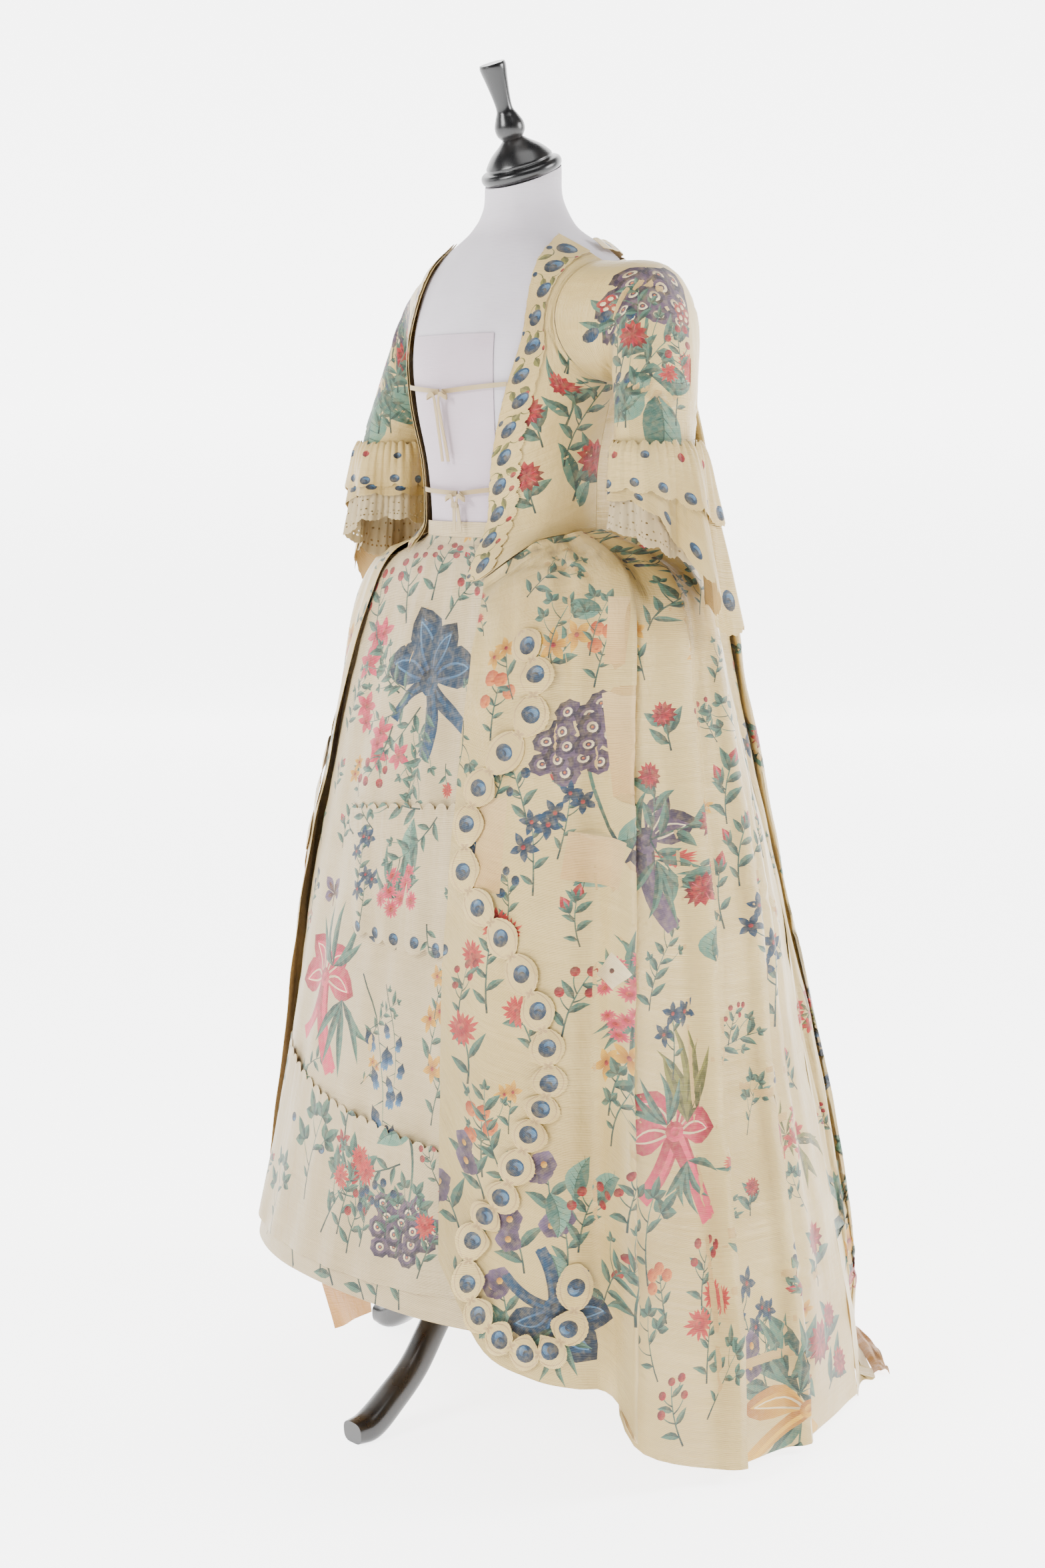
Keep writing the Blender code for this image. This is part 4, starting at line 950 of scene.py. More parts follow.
# %% Paint
def turning(turn):
    """The matrix that turns rows of points clockwise by some degrees."""
    c, s = cos(radians(turn)), sin(radians(turn))
    return np.array([[c, -s], [s, c]])


class Painting:
    """Shapes on one sheet. `keep` outlines cut the cloth to shape, `holes` are cut out of it."""

    def __init__(self, sheet):
        self.sheet = sheet
        self.keep, self.holes, self.shapes = [], [], []

    def spot(self, across, down):
        """The matrix from a brush's metres, x to the right and y up, to flat metres of cloth."""
        a = np.array([across * self.sheet.width])
        b = np.array([down * self.sheet.length])
        wide, deep, normal = (v[0] for v in self.sheet.turned(a, b, 0.01))
        up = np.array([0, 0, 1.0]) - normal[2] * normal
        up /= np.linalg.norm(up)
        right = np.cross(up, normal)
        metric = np.array([[wide @ wide, wide @ deep], [wide @ deep, deep @ deep]])
        towards = np.array([[wide @ right, wide @ up], [deep @ right, deep @ up]])
        return np.array([a[0], b[0]]), np.linalg.inv(metric) @ towards

    def put(self, shapes, across, down, turn=0.0, size=1.0):
        """Lays a spray on the sheet at shares of its width and length, turned clockwise."""
        centre, matrix = self.spot(across, down)
        self.draw(shapes, centre, matrix @ (turning(turn).T * size))

    def draw(self, shapes, centre=(0.0, 0.0), matrix=((1.0, 0.0), (0.0, 1.0))):
        """Adds shapes to the flat cloth, their outlines carried by a matrix and moved."""
        matrix = np.array(matrix)
        back = np.linalg.inv(matrix)
        limit = np.array([self.sheet.width, self.sheet.length])
        for outline, dark, light, start, end in shapes:
            flat = centre + outline @ matrix.T
            if (flat.max(0) < 0).any() or (flat.min(0) > limit).any():
                continue
            run = np.subtract(end, start)
            run = run / max(run @ run, 1e-9)
            # share of the way from dark to light: run . (back (p - centre) - start)
            slope = run @ back
            shift = -slope @ np.asarray(centre, float) - run @ start
            self.shapes.append((np.clip(flat, 0, limit), dark, light, slope, shift))


# %% Cutting a sheet into triangles
def inside(points, start, end):
    """Which points a ring of edges holds: crossings of a ray to +x, up less down, aren't 0."""
    x, y = points[:, :1], points[:, 1:]
    (x0, y0), (x1, y1) = start.T, end.T
    side = (x1 - x0) * (y - y0) - (x - x0) * (y1 - y0)
    rising = (y0 <= y) & (y1 > y) & (side > 0)
    falling = (y0 > y) & (y1 <= y) & (side < 0)
    return rising.sum(1) != falling.sum(1)


def within(points, outlines):
    """For each point the last outline that holds it, or -1."""
    order = np.argsort(points[:, 0])
    points = points[order]
    top = np.full(len(points), -1)
    for k, outline in enumerate(outlines):
        low, high = outline.min(0), outline.max(0)
        first, last = np.searchsorted(points[:, 0], (low[0], high[0]))
        part = points[first:last]
        near = first + np.flatnonzero((part[:, 1] >= low[1]) & (part[:, 1] <= high[1]))
        top[near[inside(points[near], outline, np.roll(outline, -1, 0))]] = k
    found = np.empty_like(top)
    found[order] = top
    return found


def lattice_of(sheet, steps):
    """Flat places in columns and rows about this far apart, the sheet's edges among them."""
    columns = max(2, round(sheet.width / steps[0])) + 1
    rows = max(2, round(sheet.length / steps[1])) + 1
    return np.stack(np.meshgrid(np.linspace(0, sheet.width, columns),
                                np.linspace(0, sheet.length, rows)), -1)


def delaunay(points, edges):
    """Constrained Delaunay triangles, turned so that they face out of the cloth."""
    made = delaunay_2d_cdt([Vector(p) for p in points.tolist()], edges.tolist(), [], 0, 1e-6, False)
    return np.array([tuple(p) for p in made[0]]), np.array(made[2])[:, ::-1]


def edges_of(triangles):
    return np.concatenate([triangles[:, [0, 1]], triangles[:, [1, 2]], triangles[:, [2, 0]]])


def used_once(edges):
    """Which edges belong to one triangle only."""
    low, high = np.sort(edges, 1).T
    _, number, times = np.unique(low * (high.max() + 1) + high, return_inverse=True, return_counts=True)
    return times[number.ravel()] == 1


def kept(flat, triangles, wanted):
    """The wanted triangles with only the places that they use."""
    used, triangles = np.unique(triangles[wanted], return_inverse=True)
    return flat[used], triangles.reshape(-1, 3)


def painted_side(sheet, painting, steps):
    """Flat places, triangles and each triangle's top shape, on a lattice with every outline."""
    lattice = lattice_of(sheet, steps).reshape(-1, 2)
    shapes = [shape[0] for shape in painting.shapes]
    outlines = painting.keep + painting.holes + shapes
    sizes = np.array([len(outline) for outline in outlines], int)
    first = np.repeat(len(lattice) + np.cumsum(sizes) - sizes, sizes)
    number = len(lattice) + np.arange(sizes.sum())
    step = (number - first + 1) % np.repeat(sizes, sizes)
    flat, triangles = delaunay(np.concatenate([lattice, *outlines]), np.stack([number, first + step], -1))
    middles = flat[triangles].mean(1)
    wanted = within(middles, painting.holes) < 0
    if painting.keep:
        wanted &= within(middles, painting.keep) >= 0
    return *kept(flat, triangles, wanted), within(middles[wanted], shapes)


EDGE_CELL = 0.0015          # cells of this size beside the edge hold no lattice place


def plain_side(sheet, painting, steps, flat, border):
    """The inner side: first the painted side's own edge places, then a lattice within them."""
    lattice = lattice_of(sheet, steps)[1:-1, 1:-1].reshape(-1, 2)
    points, ends = np.unique(border, return_inverse=True)
    ends = ends.reshape(-1, 2)
    edge = flat[points]
    # A lattice place too near the edge would split it.
    cells, key = np.floor(edge / EDGE_CELL).astype(int), (1, 1 << 20)
    near = np.concatenate([cells + (i, j) for i in (-1, 0, 1) for j in (-1, 0, 1)]) @ key
    lattice = lattice[~np.isin(np.floor(lattice / EDGE_CELL).astype(int) @ key, near)]
    inner, triangles = delaunay(np.concatenate([edge, lattice]), ends)
    assert np.abs(inner[:len(edge)] - edge).max() < 1e-5, "the two sides don't share their edge"
    if painting.keep or painting.holes:
        held = inside(inner[triangles].mean(1), edge[ends[:, 0]], edge[ends[:, 1]])
        triangles = triangles[held]
    return points, inner, triangles


def joined_ends(sheet, flat):
    """For a tube, the places on its last edge take the numbers of those on its first."""
    number = np.arange(len(flat))
    if sheet.closed:
        end = np.flatnonzero(np.abs(flat[:, 0] - sheet.width) < 1e-6)
        start = np.flatnonzero(np.abs(flat[:, 0]) < 1e-6)
        gap = np.abs(flat[start, 1] - flat[end, 1][:, None])
        match = gap.min(1) < 2e-6
        number[end[match]] = start[gap.argmin(1)[match]]
    return number


THICK = 0.0007              # thickness of a shell of cloth


def shell(name, sheet, painting, steps, finishes, out=WALL):
    """A thin closed shell of cloth: its outer face painted, its inner face the lining."""
    flat, triangles, top = painted_side(sheet, painting, steps)
    edges = edges_of(triangles)
    points, inner, lining = plain_side(sheet, painting, steps, flat, edges[used_once(edges)])
    joined, inner_joined = joined_ends(sheet, flat), joined_ends(sheet, inner)
    places, normals = sheet.lay(flat[:, 0], flat[:, 1], out)
    inner_places, inner_normals = sheet.lay(inner[:, 0], inner[:, 1], out - THICK)
    count = len(places)
    # Where a tube's ends meet, an edge has two triangles; the others are closed by a rim.
    p, q = edges[used_once(joined[edges])].T
    match = np.zeros(count, int)
    match[points] = np.arange(len(points))
    far_p, far_q = (inner_joined[match[k]] + count for k in (p, q))
    rim = np.concatenate([np.stack([joined[q], joined[p], far_p], -1),
                          np.stack([joined[q], far_p, far_q], -1)])
    rim_flat = np.concatenate([np.stack([q, p, p], -1), np.stack([q, p, q], -1)])
    faces = np.concatenate([joined[triangles], inner_joined[lining][:, ::-1] + count, rim])
    sizes = [len(triangles), len(lining), len(rim)]
    # A face with two places alike, or one that is there twice, is left out.
    first = np.unique(np.sort(faces, 1), axis=0, return_index=True)[1]
    sound = (faces != np.roll(faces, 1, 1)).all(1) & np.isin(np.arange(len(faces)), first)
    corner_sound = np.repeat(sound, 3)
    faces = faces[sound]
    made = closed_mesh(name, np.concatenate([places, inner_places]), faces, finishes)
    mesh = made.data
    mesh.polygons.foreach_set("material_index", np.repeat([0, 1, 0], sizes)[sound])
    backs = lining[:, ::-1].ravel()
    corners = np.concatenate([flat[triangles.ravel()], inner[backs], flat[rim_flat.ravel()]])[corner_sound]
    mesh.uv_layers.new(name="cloth").data.foreach_set("uv", corners.astype(np.float32).ravel())
    colour = np.zeros((len(sound), 3, 4), np.float32)
    if painting.shapes:
        dark, light, slope, shift = map(np.array, list(zip(*painting.shapes))[1:])
        shape = np.maximum(top, 0)
        share = np.einsum("fcx,fx->fc", flat[triangles], slope[shape]) + shift[shape][:, None]
        share = np.clip(share, 0, 1)[..., None]
        ink_there = dark[shape][:, None] * (1 - share) + light[shape][:, None] * share
        colour[:len(triangles), :, :3] = ink_there
        colour[:len(triangles), :, 3] = (top >= 0)[:, None]
    paint = mesh.color_attributes.new("paint", "FLOAT_COLOR", "CORNER")
    paint.data.foreach_set("color", colour[sound].ravel())
    rim_normals = np.zeros((3 * len(rim), 3))
    bent = np.concatenate([normals[triangles.ravel()], -inner_normals[backs], rim_normals])
    mesh.normals_split_custom_set(bent[corner_sound].tolist())
    start, second, third = (places[triangles[:, k]] for k in range(3))
    area = np.linalg.norm(np.cross(second - start, third - start), axis=1).sum() / 2
    made["cloth_area"] = float(area)
    print(f"{name}: {len(faces)} triangles, {area:.3f} m2 of cloth, {len(painting.shapes)} shapes")
    return made


def closed_mesh(name, points, faces, finishes):
    """A mesh object of triangles, set as whole arrays and shaded smooth."""
    mesh = bpy.data.meshes.new(name)
    mesh.vertices.add(len(points))
    mesh.vertices.foreach_set("co", points.astype(np.float32).ravel())
    mesh.loops.add(3 * len(faces))
    mesh.loops.foreach_set("vertex_index", faces.astype(np.int32).ravel())
    mesh.polygons.add(len(faces))
    mesh.polygons.foreach_set("loop_start", np.arange(0, 3 * len(faces), 3, dtype=np.int32))
    mesh.update(calc_edges=True)
    mesh.shade_smooth()
    return linked(name, mesh, finishes)


def piece(made, slot, *nodes):
    """Hangs the piece from the root and hides the imported parts that it stands for."""
    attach(made, "root")
    if nodes:
        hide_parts(*nodes)


# %% [markdown]
# ## The brush
#
# Everything painted on the silk is made of a few strokes: a tapering line, a petal, a disc and
# a toothed disc. A leaf is two petals, one half lit and one in shade. Small flowers are petals
# round an eye, and a twig is a bending line that carries leaves by turns and a bloom at its
# end. Sizes are in metres on the cloth, x to the right and y up.

# %% Inks and strokes
WET = 1.85                  # the light of an ink is raised to this power, since paint dries paler


def pigment(*screen):
    """A wet, deep colour."""
    return tuple(v**WET for v in ink(*screen))


# name, then the dark and the light of the ink as values on a screen
INKS = {name: tuple(pigment(*map(int, values[k:k + 3])) for k in (0, 3)) for name, *values in rows("""
leaf 58 92 86 134 164 146
great 84 124 112 156 184 166
moss 106 110 58 170 166 104
blue 16 50 70 58 112 138
sky 50 88 126 128 164 186
crimson 136 16 40 196 62 74
pink 176 40 76 224 118 140
coral 172 44 46 214 104 92
purple 72 56 78 142 122 140
plum 96 78 112 158 140 158
yellow 186 136 44 228 196 96
orange 188 104 48 228 166 104
cream 206 190 160 238 228 200
brown 96 60 44 150 108 82
""")}
INKS["stain"] = ink(190, 150, 88), ink(198, 166, 112)
# The trimming's cord lines, and the painted shade in the creases at its gathered necks.
INKS["thread"] = ink(150, 120, 76), ink(178, 148, 100)


def polar(angle, reach):
    """The point at this distance and angle, 0 degrees straight up and 90 to the right."""
    return np.array([sin(radians(angle)), cos(radians(angle))]) * reach


def stroke(line, width, hue, tip=0.35):
    """A tapering line: half its width to either side, thinning to the share `tip`."""
    line = np.asarray(line, float)
    run = np.gradient(line, axis=0)
    run /= np.maximum(np.linalg.norm(run, axis=1, keepdims=True), 1e-9)
    half = width / 2 * np.linspace(1, tip, len(line))[:, None]
    side = run[:, ::-1] * (-1, 1) * half
    dark, light = INKS[hue]
    return np.concatenate([line + side, (line - side)[::-1]]), dark, light, line[0], line[-1]


def arc(start, end, bend, count=7):
    """A line from start to end that bows to its left by this share of its length."""
    t = np.linspace(0, 1, count)[:, None]
    run = np.subtract(end, start)
    return start + run * t + np.array([-run[1], run[0]]) * bend * 4 * t * (1 - t)


def petal(base, tip, width, hue, full=1.0, flip=False, bend=0.0):
    """A petal: half width sin(pi t^full) along a line that may bend."""
    t = np.linspace(0, 1, 7)
    line = arc(np.asarray(base, float), np.asarray(tip, float), bend)
    run = np.subtract(tip, base)
    side = np.array([-run[1], run[0]]) / max(np.hypot(*run), 1e-9)
    half = (width / 2 * np.sin(pi * t**full))[1:-1, None] * side
    outline = np.concatenate([line[:1], line[1:-1] + half, line[-1:], (line[1:-1] - half)[::-1]])
    dark, light = INKS[hue][::-1] if flip else INKS[hue]
    return outline, dark, light, np.asarray(base, float), np.asarray(tip, float)


def leaf(base, tip, width, hue, bend=0.0, veins=0):
    """Two halves of a leaf, one lit, with a midrib and any veins."""
    base, tip = np.asarray(base, float), np.asarray(tip, float)
    count = 8 if veins else 5
    t = np.linspace(0, 1, count)
    line = arc(base, tip, bend, count)
    run = tip - base
    side = np.array([-run[1], run[0]]) / max(np.hypot(*run), 1e-9)
    half = (width / 2 * np.sin(pi * t**0.8))[:, None] * side
    dark, light = INKS[hue]
    middle = tuple(0.5 * (d + l) for d, l in zip(dark, light))
    made = [
        (np.concatenate([line, (line + half)[-2:0:-1]]), middle, light, base, tip),
        (np.concatenate([line, (line - half)[-2:0:-1]]), dark, middle, base, tip),
    ]
    if veins:
        made.append(stroke(line, width * 0.05, hue, 0.3)[:1] + (dark, dark, base, tip))
        for k in range(1, veins + 1):
            at = k / (veins + 1)
            root = line[0] + run * at + side * np.hypot(*run) * bend * 4 * at * (1 - at)
            for way in (-1, 1):
                reach = root + run * 0.13 + side * way * width * 0.36 * sin(pi * at**0.8)
                made.append(stroke([root, (root + reach) / 2, reach], width * 0.03, hue)[:1]
                            + (dark, dark, base, tip))
    return made


def disc(centre, radius, hue, sides=11, flat=1.0, flip=False, teeth=0.0):
    """A round spot, its light on the lower right; with teeth its edge is cut in and out."""
    a = np.linspace(0, 2 * pi, sides, endpoint=False)
    reach = radius * (1 + teeth * (np.arange(sides) % 2 - 0.5))
    outline = np.stack([np.cos(a) * reach, np.sin(a) * reach * flat], -1) + centre
    dark, light = INKS[hue][::-1] if flip else INKS[hue]
    way = np.array([0.5, -0.8]) * radius
    return outline, dark, light, centre - way, centre + way


# %% Flowers
def star(rng, at, size, hue, angle=0.0):
    made = []
    for k in range(5):
        turn = angle + 72 * k + rng.uniform(-9, 9)
        made.append(petal(at, at + polar(turn, size * rng.uniform(0.9, 1.1)), size * 0.52, hue, 0.9))
        made.append(stroke([at, at + polar(turn, size * 0.7)], size * 0.05, hue))
    return made + [disc(at, size * 0.16, "crimson", 7)]


def carnation(rng, at, size, hue, angle=0.0):
    """A fringed disc over its calyx, with darker creases and a paler fringe."""
    made = leaf(at + polar(angle + 180, size * 1.7), at, size * 0.55, "leaf")
    made.append(disc(at, size, hue, 26, 0.86, True, 0.34))
    made.append(disc(at, size * 0.66, hue, 20, 0.86, False, 0.4))
    for k in range(9):
        turn = 40 * k + rng.uniform(-12, 12)
        line = [at + polar(turn, size * 0.18), at + polar(turn, size * rng.uniform(0.65, 0.95))]
        made.append(stroke(line, size * 0.09, hue if k % 2 else "pink"))
    return made


def rosebud(rng, at, size, hue, angle=0.0):
    foot = at - polar(angle, size * 0.8)
    made = [petal(foot, at + polar(angle, size), size * 1.15, hue, 0.8)]
    made.append(petal(foot, at + polar(angle + 14, size * 0.8), size * 0.5, "pink", 0.8))
    for turn in (-34, 2, 36):
        made.append(petal(foot, foot + polar(angle + turn, size * 1.35), size * 0.34, "leaf"))
    return made


def daisy(rng, at, size, hue, angle=0.0):
    made = []
    for k in range(15):
        turn = 24 * k + rng.uniform(-6, 6)
        made.append(petal(at, at + polar(turn, size * rng.uniform(0.82, 1.1)), size * 0.26, hue, 1.2))
    return made + [disc(at, size * 0.3, "coral", 9, flip=True), disc(at, size * 0.14, "crimson", 7)]


def bluebell(at, size, hue, angle):
    mouth = at + polar(angle, size)
    made = [petal(at - polar(angle, size * 0.2), mouth, size * 0.8, hue, 1.5)]
    for turn in (-38, 0, 38):
        made.append(petal(at + polar(angle, size * 0.6), mouth + polar(angle + turn, size * 0.4),
                          size * 0.36, "sky", 1.0))
    return made


def berry(rng, at, size, hue, angle=0.0):
    spark = at + (size * 0.1, -size * 0.12)
    return [disc(at, size * 0.42, hue, 9), disc(spark, size * 0.13, hue, 6, flip=True)]


def cherries(rng, at, size, hue, angle=0.0):
    made = []
    for k in range(5):
        spot = at + polar(72 * k, size * 0.42)
        made += [disc(spot, size * 0.34, hue, 9, flip=True), disc(spot, size * 0.17, "cream", 7)]
    return made


def pansy(rng, at, size, hue, angle=0.0):
    made = []
    for k, reach in enumerate((1.0, 0.85, 0.9, 0.9, 0.85)):
        tip = at + polar(angle + 180 + 72 * k, size * reach)
        made.append(petal(at, tip, size * 0.95, hue if k in (0, 1, 4) else "plum", 1.3))
    return made + [disc(at, size * 0.22, "yellow", 7)]


def ring(rng, at, size, hue):
    """One floret of an auricula: a lobed disc, a pale ring and a dark eye with a light pip."""
    flat = rng.uniform(0.72, 1.0)
    made = [disc(at, size, hue, 16, flat, False, 0.13), disc(at, size * 0.62, hue, 12, flat, True)]
    made += [disc(at, size * 0.40, "cream", 10, flat), disc(at, size * 0.22, hue, 8, flat)]
    return made + [disc(at, size * 0.10, "orange", 6, flat, True)]


def bud_round(at, size, hue="blue"):
    """The round bud of the trimmings: a dark ball, its lit petal and a darker heart."""
    made = [disc(at, size, hue, 15, 0.94)]
    lit = "sky" if hue == "blue" else hue
    made.append(disc(at + (size * 0.22, -size * 0.22), size * 0.56, lit, 12, 0.8))
    made.append(disc(at + (-size * 0.04, size * 0.14), size * 0.46, hue, 10, 0.8, True))
    return made + [disc(at + (-size * 0.10, size * 0.22), size * 0.30, hue, 8, 0.8)]


def ivy(rng, at, size, hue, angle=0.0):
    """A lobed leaf of three fingers, the middle one longest."""
    made = []
    for turn, reach in ((-62, 0.8), (60, 0.8), (0, 1.15)):
        made += leaf(at, at + polar(angle + turn, size * reach), size * 0.55, hue)
    return made


# %% Heads, bows and twigs
ORIGIN = np.zeros(2)


def head(rng, at, size, floret, hue, count, wide=1.15):
    """A dome of florets: a sunflower spiral, filled from the rim so the middle ones lie on top."""
    made = []
    for k in range(count, 0, -1):
        reach = size * np.sqrt((k - 0.5) / count)
        turn = 137.5 * k + rng.uniform(-8, 8)
        made += floret(rng, at + polar(turn, reach) * (wide, 0.82), size * 0.34, hue)
    return made


def knot(rng, hue, loops, tails):
    """A tied ribbon: loops and tails each start at the knot and have a turn and a reach."""
    made, gleam = [], "sky" if hue == "blue" else "cream"
    for turn, reach in tails:
        line = arc(ORIGIN, polar(turn, reach), rng.uniform(-0.16, 0.16), 9)
        made.append(stroke(line, reach * 0.22, hue, 0.9))
        light = stroke(line + (reach * 0.04, 0), reach * 0.07, hue, 0.8)
        made.append((light[0], light[2], light[2], light[3], light[4]))
    for turn, reach in loops:
        way = 1 if turn > 0 else -1
        tip = polar(turn, reach)
        made.append(petal(ORIGIN, tip, reach * 0.62, hue, 1.3, True, way * 0.08))
        made.append(petal(ORIGIN, tip * 0.86, reach * 0.30, hue, 1.3, False, way * 0.12))
        for bend in (-0.05, 0.22):
            made.append(stroke(arc(tip * 0.1, tip * 0.8, way * bend), reach * 0.05, gleam))
    size = loops[0][1]
    return made + [disc(ORIGIN, size * 0.17, hue, 10), disc(ORIGIN, size * 0.08, hue, 7, flip=True)]


BLOOMS = {bloom.__name__: bloom for bloom in (star, carnation, rosebud, daisy, berry, cherries, pansy, ivy)}


def along_line(line, at):
    """The point at this share of the way through a line's points."""
    t = np.linspace(0, 1, len(line))
    return np.array([np.interp(at, t, line[:, 0]), np.interp(at, t, line[:, 1])])


def twig(rng, length, bend, bloom, hue, size, leaves, leaf_size, side):
    """A bending stem from the origin upwards, its leaves by turns and its blooms at the ends."""
    t = np.linspace(0, 1, 7)
    spine = np.stack([bend * length * t**2, length * t * (1 - 0.2 * abs(bend) * t)], -1)
    made = [stroke(spine, 0.0023, "leaf", 0.5)]
    blooms = []
    for k in range(side):
        at = 0.35 + 0.5 * (k + rng.uniform(0.2, 0.6)) / side
        root = along_line(spine, at)
        way = 1 if k % 2 else -1
        turn = np.degrees(np.arctan(2 * bend * at)) + way * rng.uniform(32, 50)
        tip = root + polar(turn, length * rng.uniform(0.24, 0.36))
        made.append(stroke(arc(root, tip, -way * 0.1), 0.0017, "leaf", 0.6))
        blooms.append((tip, turn))
    for k in range(leaves):
        at = (k + 0.7) / (leaves + 0.8)
        root = along_line(spine, at)
        way = 1 if k % 2 else -1
        turn = np.degrees(np.arctan(2 * bend * at)) + way * rng.uniform(38, 66)
        reach = leaf_size * rng.uniform(0.75, 1.15)
        made += leaf(root, root + polar(turn, reach), reach * 0.36, "leaf", way * rng.uniform(-0.02, 0.12))
    blooms.append((spine[-1], np.degrees(np.arctan(2 * bend))))
    for tip, turn in blooms:
        made += BLOOMS[bloom](rng, tip, size * rng.uniform(0.88, 1.1), hue, angle=turn)
    return made


def turned_shapes(shapes, turn, at=(0.0, 0.0)):
    """The same shapes turned, then moved."""
    matrix = turning(turn)
    return [(o @ matrix + at, d, l, p @ matrix + at, q @ matrix + at) for o, d, l, p, q in shapes]


def fan(rng, count, length, spread, hue, width):
    """Long blades from one foot, the middle ones longest."""
    made = []
    for k in range(count):
        side = 2 * (k + 0.5) / count - 1
        reach = length * (1 - 0.35 * abs(side)) * rng.uniform(0.8, 1.1)
        turn = spread * side + rng.uniform(-6, 6)
        made += leaf(ORIGIN, polar(turn, reach), width, hue, rng.uniform(-0.16, 0.16))
    return made


def bunch(rng, stems, **how):
    """Twigs from one foot, each with its turn and its reach."""
    made = []
    for turn, reach in stems:
        made += turned_shapes(twig(rng, reach, rng.uniform(-0.35, 0.35), side=0, **how), turn)
    return made


def auricula(rng):
    """A head of purple florets on a stout stem, two broad veined leaves at its foot."""
    foot = np.array([0.006, -0.112])
    made = leaf(foot, foot + (-0.062, -0.030), 0.044, "great", 0.1, 5)
    made += leaf(foot, foot + (0.058, 0.026), 0.030, "great", -0.1, 5)
    made.append(stroke(arc(foot, (0, -0.02), 0.08), 0.0045, "leaf", 0.8))
    return made + head(rng, ORIGIN, 0.047, ring, "purple", 16)


def patch(wide, tall, turn, hue="stain"):
    """A darned or stained place: four corners, the side towards the foot darker."""
    outline = np.array([(-1, -1), (1, -1), (1, 1), (-1, 1)]) * (wide / 2, tall / 2) @ turning(turn)
    dark, light = INKS[hue]
    return [(outline, dark, light, outline[0], outline[2])]


def bells(rng, length, count):
    """A hanging stem with bells by turns."""
    spine = arc((0, 0), (0.02, -length), 0.08, 11)
    made = [stroke(spine, 0.002, "leaf")]
    for k in range(count):
        at = 0.25 + 0.75 * (k + 0.8) / count
        root = along_line(spine, at)
        tip = root + (0.012 if k % 2 else -0.014, -0.006)
        made.append(stroke([root, tip], 0.0014, "leaf"))
        made += bluebell(tip, 0.016, "blue", 180 + (18 if k % 2 else -18))
    return made


def moth(rng):
    made = []
    for turn, reach in ((-50, 0.028), (-112, 0.022), (28, 0.024), (80, 0.018)):
        made.append(petal(ORIGIN, polar(turn, reach), 0.015, "plum", 1.4))
        made.append(petal(ORIGIN, polar(turn, reach * 0.7), 0.006, "brown", 1.4))
    return made + [stroke([polar(0, 0.012), polar(180, 0.016)], 0.004, "brown")]


# %% Kinds of spray
# name, length, bend, bloom, hue, size of a bloom, leaves, size of a leaf, side shoots
TWIGS = {name: values for name, *values in rows("""
orange_berries .068 .1 berry orange .021 4 .018 3
red_berries .075 .25 berry crimson .013 4 .024 4
blue_berries .072 -.2 berry blue .014 5 .022 3
yellow_stars .07 .15 star yellow .018 3 .026 1
blue_stars .08 -.1 star blue .017 4 .022 2
pink_stars .105 .3 star pink .022 5 .026 2
red_star .04 -.2 star crimson .021 2 .02 0
daisies .095 .2 daisy coral .017 6 .022 2
daisy .05 -.25 daisy coral .017 3 .022 0
rosebuds .072 .3 rosebud crimson .014 5 .026 1
ivies .092 .25 ivy leaf .022 2 .02 3
branch .125 .35 ivy leaf .012 9 .03 3
purple .06 -.2 pansy purple .017 3 .032 1
cherries .036 .2 cherries crimson .016 3 .022 0
""")}
BOWS = {
    # hue: loops, then tails, each with its turn and its reach
    "blue": (((-28, 0.100), (24, 0.080), (-76, 0.088), (72, 0.084)),
             ((126, 0.084), (-134, 0.070), (174, 0.090))),
    "pink": (((-104, 0.064), (100, 0.060), (-52, 0.062), (50, 0.056)), ((-150, 0.082), (160, 0.104))),
    "purple": (((-98, 0.086), (84, 0.060), (-56, 0.060), (40, 0.056)), ((-146, 0.090), (168, 0.096))),
    "yellow": (((-70, 0.050), (66, 0.052)), ((-128, 0.060), (126, 0.056))),
}
PINKS = {"bloom": "carnation", "hue": "crimson", "size": 0.017, "leaves": 3, "leaf_size": 0.040}
OTHERS = {
    "auricula": auricula,
    "moth": moth,
    "great": lambda rng: leaf(ORIGIN, polar(0, 0.078), 0.042, "great", 0.12, 6),
    "blades": lambda rng: fan(rng, 5, 0.085, 62, "leaf", 0.011),
    "grass": lambda rng: fan(rng, 7, 0.105, 34, "moss", 0.011),
    "carnations": lambda rng: bunch(rng, ((24, 0.068), (76, 0.072), (158, 0.082)), **PINKS),
    "carnation": lambda rng: bunch(rng, ((0, 0.045),), **PINKS),
    "pinks": lambda rng: fan(rng, 7, 0.058, 60, "leaf", 0.008)
    + turned_shapes(head(rng, ORIGIN, 0.028, daisy, "pink", 8, 0.9), 0, (0, 0.006)),
    "coral": lambda rng: fan(rng, 15, 0.036, 170, "moss", 0.004)
    + head(rng, ORIGIN, 0.030, star, "coral", 10, 1.5)
    + turned_shapes(fan(rng, 4, 0.075, 40, "moss", 0.010), 130, (0.02, -0.01)),
    "bluebells": lambda rng: bells(rng, 0.145, 6),
    "buds": lambda rng: bud_round(ORIGIN, 0.010),
    "stain": lambda rng: patch(0.028, 0.085, rng.uniform(-6, 6)),
    "wide_stain": lambda rng: patch(0.075, 0.060, rng.uniform(-6, 6)),
    "diamond": lambda rng: patch(0.033, 0.033, 40, "cream") + [disc(ORIGIN, 0.0035, "brown", 7)],
}


def spray(rng, kind):
    """The shapes of one spray of a kind."""
    if kind in TWIGS:
        length, bend, bloom, hue, size, leaves, leaf_size, side = TWIGS[kind]
        return twig(rng, float(length), float(bend), bloom, hue, float(size), int(leaves),
                    float(leaf_size), int(side))
    if kind.startswith("ribbon_"):
        hue = kind.removeprefix("ribbon_")
        return knot(rng, hue, *BOWS[hue])
    return OTHERS[kind](rng)


